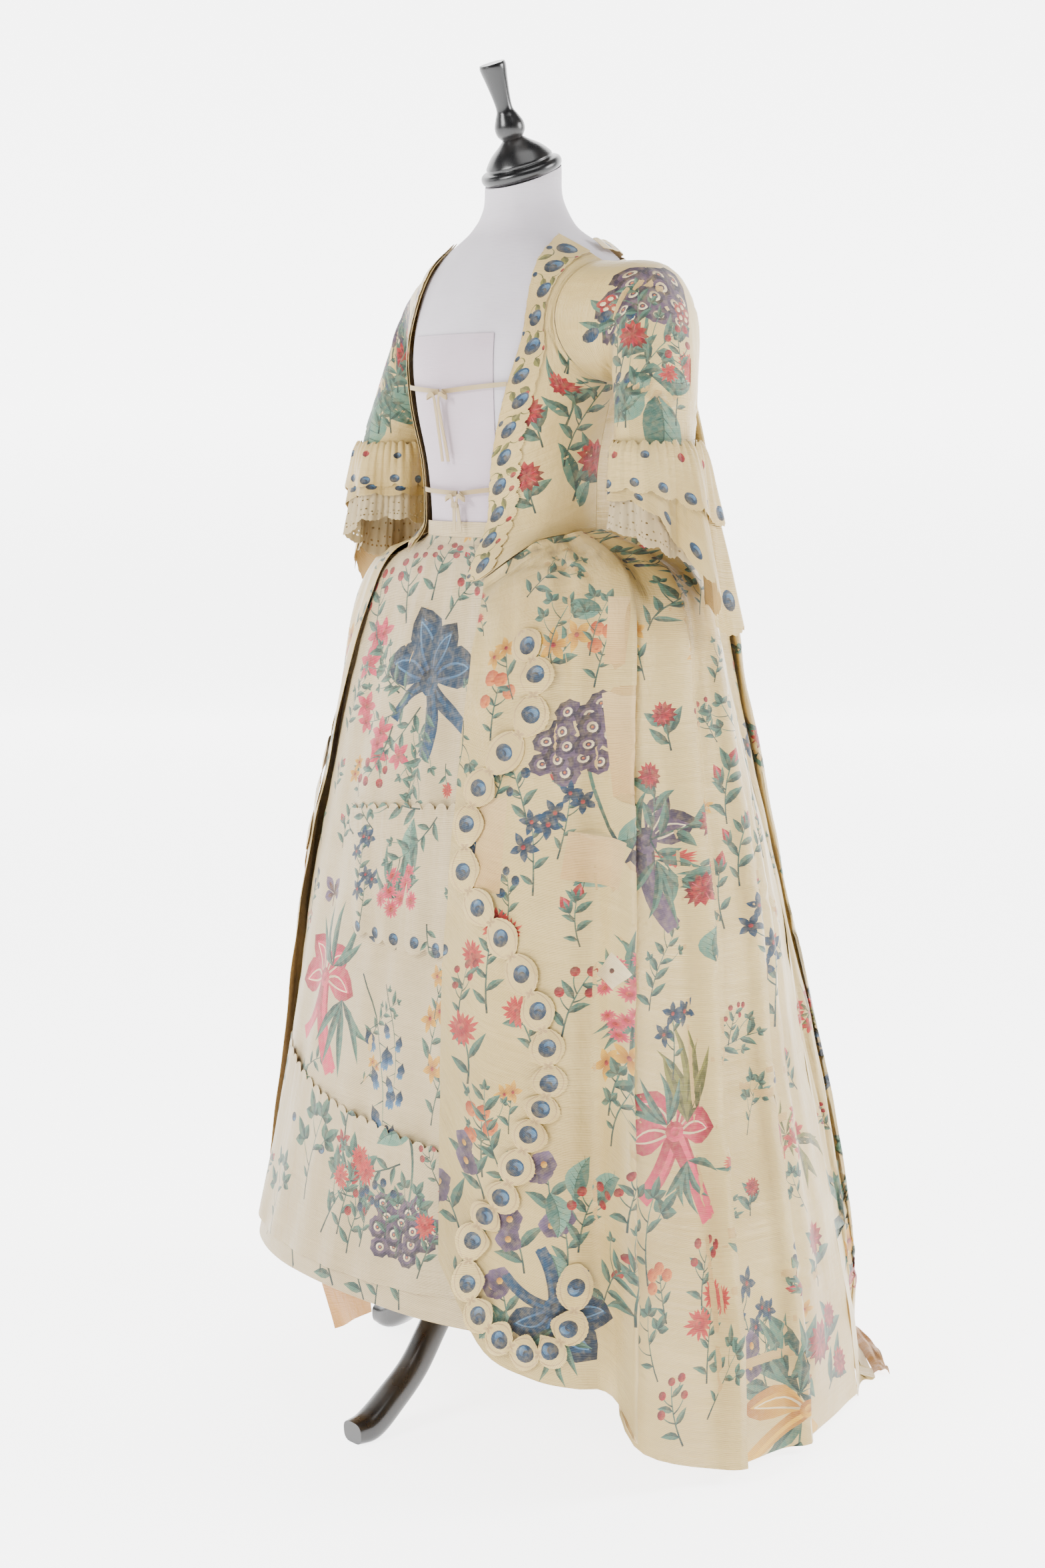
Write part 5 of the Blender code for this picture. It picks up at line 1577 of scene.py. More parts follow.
print("kinds of spray:", len(TWIGS) + len(BOWS) + len(OTHERS))

# %% [markdown]
# ## Finishes
#
# Dress silk of this kind is a crisp taffeta. It has a low, broad sheen, fine ribs where the weft
# lies, faint slubs and, after two and a half centuries, a warm uneven ivory. Over this ground
# the colour reads the paint that the cloth carries at its corners.
# Muslin is matt and lets light through; the stand is black lacquer over wood.

# %% Silk, muslin, form cover and lacquer
IVORY = ink(198, 172, 110)
IVORY_WARM = ink(172, 142, 78)


def stretched_noise(made, places, scale, detail, **more):
    """Noise whose places are scaled along each axis first."""
    places = made.node("ShaderNodeMapping", None, {"Vector": places, "Scale": scale})
    values = {"Vector": places, "Scale": 1.0, "Detail": detail, **more}
    return made.node("ShaderNodeTexNoise", None, values)


def noise(made, places, scale, detail):
    """Noise of `scale` waves to the metre."""
    return made.node("ShaderNodeTexNoise", None, {"Vector": places, "Scale": scale, "Detail": detail})


def wave(made, places, along, scale):
    """Fine bands across one direction."""
    values = {"Vector": places, "Scale": scale}
    return made.node("ShaderNodeTexWave", {"bands_direction": along}, values)


def silk(name, light, warm, rough=0.34, painted=True):
    """Taffeta: a ground by two noises and paint over it; ribs and crumple as bump."""
    made = Finish(name, sheen_weight=0.12, sheen_roughness=0.4)
    flat = made.node("ShaderNodeUVMap", {"uv_map": "cloth"})
    solid = made.node("ShaderNodeTexCoord", output=3)
    slub = stretched_noise(made, flat, (14, 900, 1), 2.0)
    cloud = noise(made, solid, 5.0, 3.0)
    ground = made.mix(made.ramp(cloud, 0.38, 0.72) * 0.55 + slub * 0.30, light, warm)
    rib = wave(made, flat, "Y", 260.0)
    crush = stretched_noise(made, flat, (26, 11, 1), 4.0, Roughness=0.55)
    dull = crush * 0.10 + (rough - 0.05)
    if painted:
        colour = made.node("ShaderNodeAttribute", {"attribute_name": "paint"})
        mask = made.node("ShaderNodeAttribute", {"attribute_name": "paint"}, output=3)
        worn = made.ramp(noise(made, solid, 140.0, 3.0), 0.25, 0.62) * 0.16 + 0.84
        made.set(base_color=made.mix(mask * worn, ground, colour), roughness=mask * 0.16 + dull)
    else:
        made.set(base_color=ground, roughness=dull)
    made.bump(crush * 1.0 + rib * 0.05 + slub * 0.10, 0.0075, 0.9)
    return made.material


def matt_cloth(name, light, shade, scale, rough=0.85, lets_through=0.0):
    """A plain weave: two fine waves crossed; a thin one lets light through."""
    made = Finish(name, roughness=rough, sheen_weight=0.2)
    solid = made.node("ShaderNodeTexCoord", output=3)
    made.set(base_color=made.mix(made.ramp(noise(made, solid, 9.0, 4.0), 0.35, 0.75), light, shade))
    flat = made.node("ShaderNodeUVMap", {"uv_map": "cloth"}) if lets_through else solid
    warp, weft = (wave(made, flat, along, scale) for along in ("X", "Y" if lets_through else "Z"))
    made.bump(warp + weft, 0.0002, 0.35)
    if lets_through:
        through = made.node("ShaderNodeBsdfTranslucent", None, {"Color": light})
        output = made.tree.nodes["Material Output"]
        both = made.node("ShaderNodeMixShader", None, {
            0: lets_through, 1: Socket(made, made.shader.outputs[0]), 2: through})
        made.fill(output.inputs["Surface"], both)
    return made.material


def lacquer(name):
    """Black lacquer, worn a little dull, over turned wood."""
    made = Finish(name, coat_weight=0.14, coat_roughness=0.30)
    solid = made.node("ShaderNodeTexCoord", output=3)
    grain = stretched_noise(made, solid, (40, 40, 9), 5.0)
    made.set(base_color=made.mix(made.ramp(grain, 0.45, 0.8), ink(16, 16, 17), ink(34, 31, 29)))
    made.set(roughness=made.ramp(grain, 0.3, 0.8) * 0.14 + 0.24)
    made.bump(grain, 0.0004, 0.25)
    return made.material


GOWN_SILK = silk("painted_silk", IVORY, IVORY_WARM)
PETTICOAT_SILK = silk("petticoat_silk", ink(184, 164, 122), ink(168, 144, 98), 0.46)
LINING = silk("plain_lining", ink(188, 156, 96), ink(168, 130, 68), 0.55, painted=False)
FACING_SILK = silk("yellow_facing", ink(176, 124, 50), ink(142, 92, 28), 0.5, painted=False)
MUSLIN = matt_cloth("muslin", ink(196, 178, 138), ink(176, 150, 104), 420.0, 0.8, 0.35)
COVER = matt_cloth("form_cover", ink(190, 184, 190), ink(180, 172, 178), 160.0)
COVER_GREY = matt_cloth("cover_panel", ink(178, 164, 172), ink(170, 154, 162), 160.0)
WOOD = lacquer("black_lacquer")
floor_finish = Finish("pale_floor", base_color=(0.86, 0.86, 0.86), roughness=0.9,
                      emission_color=(1.0, 1.0, 1.0), emission_strength=4.2)
floor.data.materials.append(floor_finish.material)
print("finishes:", len(bpy.data.materials))

# %% [markdown]
# ## The form and its stand
#
# The form is a padded body under a smooth grey-white cover, with a black turned cap and knob
# at the neck and four curved legs below. Each is a profile carried round an axis, or rings
# carried along a line, so the solid's own tables serve again with many more steps.

# %% Turned pieces and rings
SHARP = 40.0                # degrees between faces above which an edge stays sharp


def rings_mesh(name, rings, finish):
    """A closed solid through rings of points from top to bottom, its ends filled."""
    count, sides = rings.shape[:2]
    cell = np.arange(count * sides).reshape(count, sides)
    beside = np.roll(cell, -1, 1)
    walls = np.stack([cell[:-1], cell[1:], beside[1:], beside[:-1]], -1).reshape(-1, 4)
    mesh = bpy.data.meshes.new(name)
    faces = walls.tolist() + [cell[0].tolist(), cell[-1][::-1].tolist()]
    mesh.from_pydata(rings.reshape(-1, 3).tolist(), [], faces)
    mesh.shade_smooth()
    mesh.set_sharp_from_angle(angle=radians(SHARP))
    return linked(name, mesh, [finish])


def turned_rings(profile, foot, axis, steps=8, sides=72):
    """Circles of radius r(step) at height z(step) along a tilted axis, from top to bottom."""
    last = len(profile["step"]) - 1
    step = np.linspace(last, 0, last * steps + 1)
    radii, rise = read(profile, "radius", step), read(profile, "z", step)
    a = np.linspace(0, 2 * pi, sides, endpoint=False)
    side, front = np.array([1.0, 0, 0]), np.cross(axis, [1.0, 0, 0])
    circle = np.cos(a)[:, None] * side + np.sin(a)[:, None] * front
    return foot + rise[:, None, None] * axis + radii[:, None, None] * circle


AXIS = np.array([0.0, -sin(NECK_TILT), cos(NECK_TILT)])
NECK = np.array([0.0, AXIS_Y + BACK_SHIFT, NECK_TOP])
cap = rings_mesh("turned_cap", turned_rings(CAP_PROFILE, NECK + AXIS * SEAM, AXIS), WOOD)
knob_foot = NECK + AXIS * (2 * SEAM + CAP_PROFILE["z"][-1])
knob = rings_mesh("turned_knob", turned_rings(FINIAL_PROFILE, knob_foot, AXIS), WOOD)
piece(cap, "black_wood", "neck_cap")
piece(knob, "black_wood", "neck_finial")


# %% The covered body
def body_rings():
    """Sections of the form at close heights; above the shoulders they tilt forward to the neck."""
    z = np.concatenate([np.linspace(NECK_TOP, 1.50, 40), np.linspace(1.495, FORM_FOOT, 46)])
    b, h = np.meshgrid(np.linspace(0, 360, 96, endpoint=False), z)
    body = place(b, h, radius(FORM, BODY_POWER, b, h))
    tilt = np.clip((h - NECK_BEND) / (NECK_TOP - NECK_BEND), 0, 1)
    body[..., 2] += tilt * (body[..., 1] - AXIS_Y) * tan(NECK_TILT)
    return body + (0, BACK_SHIFT, 0)


body = rings_mesh("covered_form", body_rings(), COVER)
piece(body, "form_cover", "form_torso")


# %% Pole, hub and legs
UPRIGHT = np.array([0.0, 0.0, 1.0])
POLE_PROFILE = table(f"""
step radius z
0 {POLE_RADIUS} {HUB_TOP + SEAM}
1 {POLE_RADIUS} {FORM_FOOT - SEAM}
""")
HUB_PROFILE = table(f"""
step radius z
0 .02 {HUB_BOTTOM}
1 .03 {HUB_BOTTOM + 0.004}
2 .03 {HUB_TOP - 0.012}
3 .024 {HUB_TOP - 0.004}
4 .018 {HUB_TOP}
""")
pole_foot = np.array([0.0, AXIS_Y + BACK_SHIFT, 0.0])
for name, profile, node in (
    ("upright_pole", POLE_PROFILE, "stand_pole"),
    ("leg_hub", HUB_PROFILE, "stand_hub"),
):
    made = rings_mesh(name, turned_rings(profile, pole_foot, UPRIGHT, sides=48), WOOD)
    piece(made, "black_wood", node)


def leg_rings(bearing):
    """Rounded sections along the leg's line: |x/wide|^3 + |up/tall|^3 = 1, flat on the floor."""
    steps = np.linspace(len(LEG["step"]) - 1, 0, 57)
    line = np.stack([read(LEG, "out", steps), read(LEG, "z", steps)], -1)
    run = np.gradient(line, axis=0)
    run /= np.linalg.norm(run, axis=1, keepdims=True)
    up = np.stack([run[:, 1], -run[:, 0]], -1)
    a = np.linspace(0, 2 * pi, 32, endpoint=False)
    reach = (np.abs(np.sin(a)) ** 3 + np.abs(np.cos(a)) ** 3) ** (-1 / 3)
    side = read(LEG, "wide", steps)[:, None] * np.sin(a) * reach
    rise = read(LEG, "tall", steps)[:, None] * np.cos(a) * reach
    out = np.maximum(line[:, :1] + up[:, :1] * rise, LEG["out"][0])
    z = np.maximum(line[:, 1:] + up[:, 1:] * rise, 0.0)
    turn = radians(bearing)
    x = side * cos(turn) + out * sin(turn)
    y = side * sin(turn) - out * cos(turn)
    return np.stack([x, y + AXIS_Y + BACK_SHIFT, z], -1)


for k in range(LEG_COUNT):
    made = rings_mesh(f"curved_leg_{k + 1}", leg_rings(90.0 * k), WOOD)
    piece(made, "black_wood", f"stand_leg_{k + 1}")
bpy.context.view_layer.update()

# %% [markdown]
# ## Edges that are cut, not hemmed
#
# Every trimming on this gown is pinked: cut with a toothed punch, in scallops that each carry
# small teeth, so that the silk doesn't fray. An outline in flat metres does the same here, and
# `keep` throws away the cloth outside it.

# %% Pinked outlines
def pinked(sheet, across, down, depth, tooth=0.0011, teeth=6):
    """A sheet's outline with scallops cut into its edges.

    `across` scallops lie on the upper and the lower edge, `down` on each side; none leaves the
    edge straight. The edge stands depth (1 - |sin(pi n t)|^0.7) inside, less a saw of teeth.
    """
    limit = np.array([sheet.width, sheet.length])
    corners = np.array([(0, 0), (1, 0), (1, 1), (0, 1), (0, 0)]) * limit
    lines = []
    for k, scallops in enumerate((across[0], down, across[1], down)):
        t = np.linspace(0, 1, max(1, scallops * teeth * 2) + 1)[:-1]
        inside = depth * (1 - np.abs(np.sin(pi * scallops * t)) ** 0.7) + tooth * (np.arange(len(t)) % 2)
        start, end = corners[k], corners[k + 1]
        inward = np.array([start[1] - end[1], end[0] - start[0]]) / np.hypot(*(end - start))
        line = start + (end - start) * t[:, None]
        lines.append(line + (inside[:, None] * inward if scallops else 0))
    return np.clip(np.concatenate(lines), 0, limit)


def sided(grid, side):
    """The piece as it is for the wearer's left, or mirrored for the right."""
    return grid[:, ::-1] * (-1, 1, 1) if side == "right" else grid


def over(sheet, a, b, out):
    """A grid that lies on a sheet at these flat places, moved out, in the figure's frame."""
    return sheet.lay(a, b, out)[0] - np.array([0.0, BACK_SHIFT, 0.0])


# %% [markdown]
# ## The petticoat
#
# A petticoat is a wide tube of straight breadths set into a waistband and held out by pads on
# the hips. Here its front is one broad sheet, with two applied flounces that a maker gathers
# along a heading and pinks below. The cut is nearly flat in front, so the folds stay soft.

# %% Petticoat breadths and band
def creases(text):
    """Rows of a0, b0, a1, b1 as shares of a sheet, then bow, width and depth in metres."""
    return tuple(tuple(map(float, row)) for row in rows(text))


FOLDS = {
    "petticoat_front": creases("""
.2 .02 .17 .9 .01 .022 .0046
.32 .1 .3 .97 .012 .028 .004
.41 0 .4 .42 .006 .012 .0014
.475 .04 .47 .99 .004 .017 .003
.56 .05 .575 .95 -.008 .026 .004
.66 0 .69 .9 -.01 .024 .003
.8 .03 .82 .93 -.01 .026 .0034
.385 .55 .6 .6 .01 .01 .0009
"""),
    "petticoat_back": tuple(
        (0.06 + 0.11 * k, 0.02 + 0.03 * (k % 3), 0.05 + 0.112 * k, 0.96 - 0.05 * (k % 2),
         0.008, 0.026, 0.0045)
        for k in range(9)
    ),
    "skirt_left": creases("""
.1 .05 .13 .8 .012 .022 .0034
.22 0 .21 .34 .01 .016 .005
.3 .12 .3 .96 -.01 .024 .0052
.4 .3 .37 .98 .008 .018 .0044
.455 .1 .45 .75 -.006 .014 .0048
.53 .25 .54 .99 .01 .02 .0056
.05 .02 .3 .1 .014 .01 .0026
.12 0 .34 .065 .012 .008 .0026
.62 .2 .6 .95 .006 .016 .0052
.7 .1 .69 .8 -.008 .014 .0044
.78 .15 .78 .95 .008 .016 .005
.86 .3 .87 .97 .008 .014 .0046
.93 .08 .94 .9 -.006 .014 .004
.66 .62 .94 .7 .02 .012 .0034
.7 .8 .96 .84 -.016 .012 .004
.6 .9 .9 .93 .012 .012 .004
.76 .42 .96 .47 .014 .011 .0028
"""),
    "back_sack": tuple(
        (0.03 + 0.052 * k, 0.24 + 0.07 * ((k * 5) % 4), 0.02 + 0.0525 * k, 0.86 + 0.03 * (k % 4),
         0.012 * (-1) ** k, 0.012 + 0.004 * (k % 3), 0.0034 + 0.0010 * ((k * 7) % 3))
        for k in range(19)
    ) + creases("""
.1 .88 .34 .955 .02 .016 .004
.62 .87 .86 .95 -.02 .016 .004
.38 .9 .6 .93 .012 .014 .0034
.78 .5 .9 .6 .01 .01 .0018
.7 .66 .86 .74 .01 .01 .002
.12 .55 .24 .63 .01 .01 .0018
"""),
    "sleeve": creases("""
.06 .3 .26 .44 .01 .008 .0035
.7 .22 .92 .36 .01 .008 .0035
.3 .62 .52 .8 .008 .007 .0028
.72 .6 .95 .74 -.008 .007 .0032
.42 .08 .6 .22 .006 .007 .0025
.05 .75 .2 .92 .006 .006 .0025
"""),
    "bodice_front": creases("""
.42 .55 .95 .62 .008 .007 .0014
.4 .74 .98 .78 .01 .007 .0016
.46 .88 .96 .9 .006 .006 .0014
.6 .3 .95 .44 .006 .007 .0012
"""),
}
front = Sheet(front_grid(), folds=FOLDS["petticoat_front"], crumple=0.0022, seed=3)
b, z = np.meshgrid(np.linspace(FRONT_HALF + SEAM_ROOM, 360 - FRONT_HALF - SEAM_ROOM, 21), PETTICOAT_ROWS)
back = Sheet(petticoat(b, z), folds=FOLDS["petticoat_back"], crumple=0.0014, seed=4)
b, z = np.meshgrid(np.linspace(0, 360, 48, endpoint=False), (BAND_TOP, BAND_BOTTOM))
band = Sheet(petticoat(b, z), closed=True)


def at_across(x, z):
    """Bearings on the petticoat's front at these places across, found along each level."""
    trial = np.linspace(-FRONT_HALF, FRONT_HALF, 193)
    found = [np.interp(xi, petticoat(trial, np.full(193, zi))[:, 0], trial)
             for xi, zi in zip(x.flat, z.flat)]
    return np.reshape(found, x.shape)


def flounce(edge, waves, gathers):
    """An applied flounce: z and x between its two edges, waved below and gathered above.

    Its lift is w sqrt(v) (1 - cos(2 pi n u)) / 2, and 1 mm sin(pi m u)^2 (1 - v)^2 of gathers.
    """
    u, v = np.meshgrid(np.linspace(0, 1, 61), np.linspace(0, 1, 13))
    x = read(edge, "x_top", u) * (1 - v) + read(edge, "x_low", u) * v
    z = read(edge, "z_top", u) * (1 - v) + read(edge, "z_low", u) * v
    lift = FLOUNCE_WAVE * np.sqrt(v) * (1 - np.cos(2 * pi * waves * u)) / 2
    lift = lift + 0.0010 * np.sin(pi * gathers * u) ** 2 * (1 - v) ** 2
    return petticoat(at_across(x, z), z, WALL + 0.0012 + lift)


upper = Sheet(flounce(FLOUNCE_UPPER, 5, 21), crumple=0.0008, seed=5)
lower = Sheet(flounce(FLOUNCE_LOWER, 7, 33), crumple=0.0008, seed=6)

# %% [markdown]
# ## The gown
#
# The bodice is cut in two fronts and a back and does not meet: tapes tie it over a stomacher.
# The skirts hang from its edge in knife pleats at the hip, and the sack is one wide length,
# pleated at the neck and let out to the hem. Right-hand pieces are the left ones mirrored,
# each with its own front edge.

# %% Sheets of the gown
def skirt_sheet(side):
    folds = FOLDS["skirt_left"]
    if side == "right":
        folds = [(1 - a0, b0, 1 - a1, *rest) for a0, b0, a1, *rest in folds]
    return Sheet(sided(gown(*skirt_panel(side)), side), folds=folds, crumple=0.0030, seed=11 + len(side))


def bodice_sheet(side):
    folds = FOLDS["bodice_front"] if side == "left" else ()
    return Sheet(sided(front_panel(side), side), folds=folds, crumple=0.0006, seed=21)


OVAL_PLACES = np.arange(0, OVALS + 0.001, 0.125)    # in ovals from the top


def trim_sheet(side):
    """The winding trimming: rows along its path, columns from side to side.

    Each oval is puffed 2.6 mm at its heart, where the stuff is drawn up between two stitches.
    """
    z = read(SERPENT, "z", OVAL_PLACES)
    bearing = straight(OPENING, side, z) + read(SERPENT, "off", OVAL_PLACES) * SERPENT_REACH[side]
    reach = skirt_radius(bearing, z)
    run = np.gradient(np.stack([np.radians(bearing) * reach, z], -1), axis=0)
    run /= np.linalg.norm(run, axis=1, keepdims=True)
    edge = np.linspace(-1, 1, 9) * OVAL_WIDE
    b = bearing[:, None] - np.degrees(run[:, 1:] * edge / reach[:, None])
    h = z[:, None] + run[:, :1] * edge
    puff = 0.0026 * np.abs(np.sin(pi * OVAL_PLACES))[:, None] * (1 - (edge / OVAL_WIDE) ** 2)
    return Sheet(sided(gown(b, h, WALL + 0.0022 + puff), side))


def oval_half(s):
    """Half the width of the row of ovals at s ovals from the top: n + (w - n) |sin(pi s)|^0.75."""
    return 0.006 + (OVAL_WIDE - 0.0075) * np.abs(np.sin(pi * s)) ** 0.75


def oval_outline(sheet):
    """The outline of ovals joined at their necks, pinked all round with small teeth."""
    s = np.linspace(0, OVALS, OVALS * 20 + 1)
    along = np.interp(s, OVAL_PLACES, sheet.b)
    half = oval_half(s) + 0.0009 * (np.arange(len(s)) % 2)
    middle = sheet.width / 2
    right = np.stack([middle + half, along], -1)
    left = np.stack([middle - half, along], -1)
    return np.concatenate([right, left[::-1]])


def oval_marks(rng, sheet):
    """A bud in the heart of each oval, a line of cord inside its edge and painted shade in the creases at its
    gathered neck.
    """
    made = []
    middle = sheet.width / 2
    for k in range(OVALS):
        s = k + np.linspace(0.07, 0.93, 11)
        along = np.interp(s, OVAL_PLACES, sheet.b)
        for way in (-1, 1):
            line = np.stack([middle + way * oval_half(s) * 0.80, along], -1)
            made.append(stroke(line, 0.0014, "thread", 1.0))
        neck = np.array([middle, np.interp(k, OVAL_PLACES, sheet.b)])
        # Four short strokes from each neck, darkest at the neck: painted shade in the creases where the oval
        # is gathered.
        for turn in (50, 130, 230, 310):
            made.append(petal(neck, neck + polar(turn, 0.008), 0.004, "thread"))
        heart = np.array([middle, np.interp(k + 0.5, OVAL_PLACES, sheet.b)])
        made += bud_round(heart + rng.uniform(-0.0015, 0.0015, 2), 0.0118)
    return made


SIDES = "left", "right"
skirts = {side: skirt_sheet(side) for side in SIDES}
bodices = {side: bodice_sheet(side) for side in SIDES}
trims = {side: trim_sheet(side) for side in SIDES}
bodice_back = Sheet(back_panel(), crumple=0.0006, seed=23)
sack = Sheet(whole(sack_half()), folds=FOLDS["back_sack"], crumple=0.0030, seed=31)
arm = sleeve_rings()[:, ::-1]
sleeves = {side: Sheet(sided(arm, side), True, FOLDS["sleeve"], 0.0020, seed)
           for side, seed in zip(SIDES, (41, 43))}
print("sack:", np.round(sack.flat, 2), "m of cloth; skirt:", np.round(skirts["left"].flat, 2))


# %% Sleeve frills, robings and neck band
SCALLOP_DEEP = 0.004        # cloth below a frill's edge that the pinking takes away
HEADING_IN = 0.62           # share of its room that a frill gives up at its heading


def ruffle(top, short, long, close, room, scallops, lace=False):
    """A gathered frill: the solid's own bell, drawn in to the sleeve at its heading.

    Radii grow by flare and by a wave of seven from a heading that stands `room` less
    HEADING_IN exp(-8 v) off the sleeve; 38 gathers die away down the cloth, and slower waves
    keep the seven from being alike. Silk flounces are shorter in front, so that the lace shows.
    """
    turn, v = np.meshgrid(np.linspace(0, 2 * pi, 192, endpoint=False), np.linspace(0, 1, 14))
    share = ((1 + np.cos(turn - LONG_AT)) / 2) ** close
    short = short if lace else short * 0.80
    length = short + (long - short) * share + (SCALLOP_DEEP if scallops else 0.0)
    drop = v * length
    outer, inner, level, deep = (SLEEVE[column][-1] for column in ("out_x", "in_x", "y", "deep"))
    wave = FRILL_WAVE * (np.cos(RUFFLE_WAVES * turn) + 0.30 * np.cos(3 * turn + 1))
    fade = np.exp(-v * (0.4 if lace else 1.6))
    gathers = (0.0019 if lace else 0.0017) * np.cos(38 * turn + 2 * np.sin(3 * turn)) * fade
    spread = room * (1 - HEADING_IN * np.exp(-8 * v)) + drop * (FRILL_FLARE + wave) + gathers
    x = (outer + inner) / 2 + ((outer - inner) / 2 + spread) * np.cos(turn) + FRILL_LEAN * drop
    y = level + FRILL_BACK - (deep + spread) * np.sin(turn)
    z = top - drop + 0.0012 * np.cos(19 * turn) * np.exp(-v * 6)
    return np.stack([x, y, z], -1)[:, ::-1]


def robing_sheet(side):
    """The band along the bodice's edge, on the bodice's own flat places."""
    sheet = bodices[side]
    wide = ROBING_WIDTH * 0.98
    a, b = np.meshgrid(np.linspace(0, wide, 7), np.linspace(0, sheet.length, 61))
    if side == "right":
        a = sheet.width - a[:, ::-1]
    return Sheet(over(sheet, a, b, WALL + 0.0012))


def frill_sheet(key, side):
    lace = FRILL_NAMES[key] == "lace_ruffle"
    grid = sided(ruffle(*(FRILLS[column][key] for column in list(FRILLS)[1:]), lace), side)
    return Sheet(grid, closed=True, crumple=0.0008 if lace else 0.0020, seed=51 + key + len(side))


frills = {(name, side): frill_sheet(key, side) for key, name in enumerate(FRILL_NAMES) for side in SIDES}
robings = {side: robing_sheet(side) for side in SIDES}
b, v = np.meshgrid(np.linspace(NECK_BAND["from"], NECK_BAND["to"], 61), np.linspace(0, 1, 5))
high = SHOULDER_Z - NECK_BAND["below"] + (BACK_NECK_Z - SHOULDER_Z) * np.sin(np.radians(b - 90))
neck_band = Sheet(bodice(b, high - NECK_BAND["wide"] * v, WALL + LAP + 0.0006 * np.cos(b * 1.7)))


# %% Facings, tapes and the cover's loose panel
def petticoat_facing():
    """The torn facing inside the front hem, which hangs a little below it and curls."""
    u, v = np.meshgrid(np.linspace(0, 1, 13), np.linspace(0, 1, 9))
    x = FACING["x"] + FACING["wide"] * u + FACING["taper"] * v * (1 - u)
    z = FACING["z"] - v * (FACING["deep"] - FACING["rise"] * u)
    held = np.maximum(z, PETTICOAT_HEM + 0.001)
    inward = WALL + 2 * SEAM + 0.004 * np.clip(PETTICOAT_HEM - z, 0, 0.05) / 0.05 * (1 + np.sin(7 * u))
    grid = petticoat(at_across(x, held), held, -inward)
    grid[..., 2] += z - held
    return Sheet(grid, crumple=0.0012, seed=61)


def train_facing():
    """The aged facing that lies crumpled on the floor out from under the train's hem."""
    joined = sack_half()[-3:-2, -2:]
    made = []
    for k, share in enumerate(np.linspace(0, 1, 7)):
        spread = TRAIN_SPREAD + 3 * SEAM + (FACING_SPREAD - 3 * SEAM) * share
        row = floor_line(joined, spread)[:, :-3]
        column = np.arange(row.shape[1])
        row[..., 2] += 0.0045 * sin(pi * share) + 0.0035 * share * (1 + np.sin(2.4 * column + 2 * k))
        made.append(row)
    return Sheet(whole(np.concatenate(made)), crumple=0.0030, seed=63)


def tie_sheet(name, side):
    """One tape of a bow, from the bodice's edge through its loop to its hanging end."""
    size, sign = TIES[name], (1 if side == "left" else -1)
    edge_z = size["z"] + size["edge_rise"]
    edge = float(edge_bearing(side, np.array([edge_z]))[0]) - 0.2
    steps = np.linspace(1, 10, 46)
    b = size["knot"] * sign + read(HALF_BOW, "across", steps)
    z = size["z"] - read(HALF_BOW, "drop", steps) * np.where(steps > 8, size["tail"], 1)
    b = np.concatenate([np.linspace(edge, b[0], 10)[:-1], b])
    z = np.concatenate([np.linspace(edge_z, z[0], 10)[:-1], z])
    out = np.concatenate([np.full(9, HALF_BOW["out"][0]), read(HALF_BOW, "out", steps)])
    turn = np.radians(np.concatenate([np.zeros(9), read(HALF_BOW, "turn", steps)]))[:, None]
    level = np.stack([np.cos(np.radians(b)), np.sin(np.radians(b)), 0 * b], -1)
    across = (0, 0, 1) * np.cos(turn) - level * np.sin(turn)
    line = place(b, z, bodice_radius(b, z) + out)
    width = np.linspace(-0.5, 0.5, 3)[None, :, None] * TIE_WIDTH
    return Sheet(sided(line[:, None] + across[:, None] * width, side))


def cover_panel():
    """A loose width of the form's own cover between the bodice's edges, its top cut straight."""
    b, z = np.meshgrid(np.linspace(-44, 30, 25), np.linspace(1.447, 1.145, 31))
    return Sheet(place(b, z, radius(FORM, BODY_POWER, b, z) + 0.0004), crumple=0.0003, seed=67)


facings = {"petticoat_facing": petticoat_facing(), "train_hem_facing": train_facing()}
ties = {(name, side): tie_sheet(name, side) for name in TIES for side in SIDES}
panel = cover_panel()
print("train facing:", np.round(facings["train_hem_facing"].flat, 3))
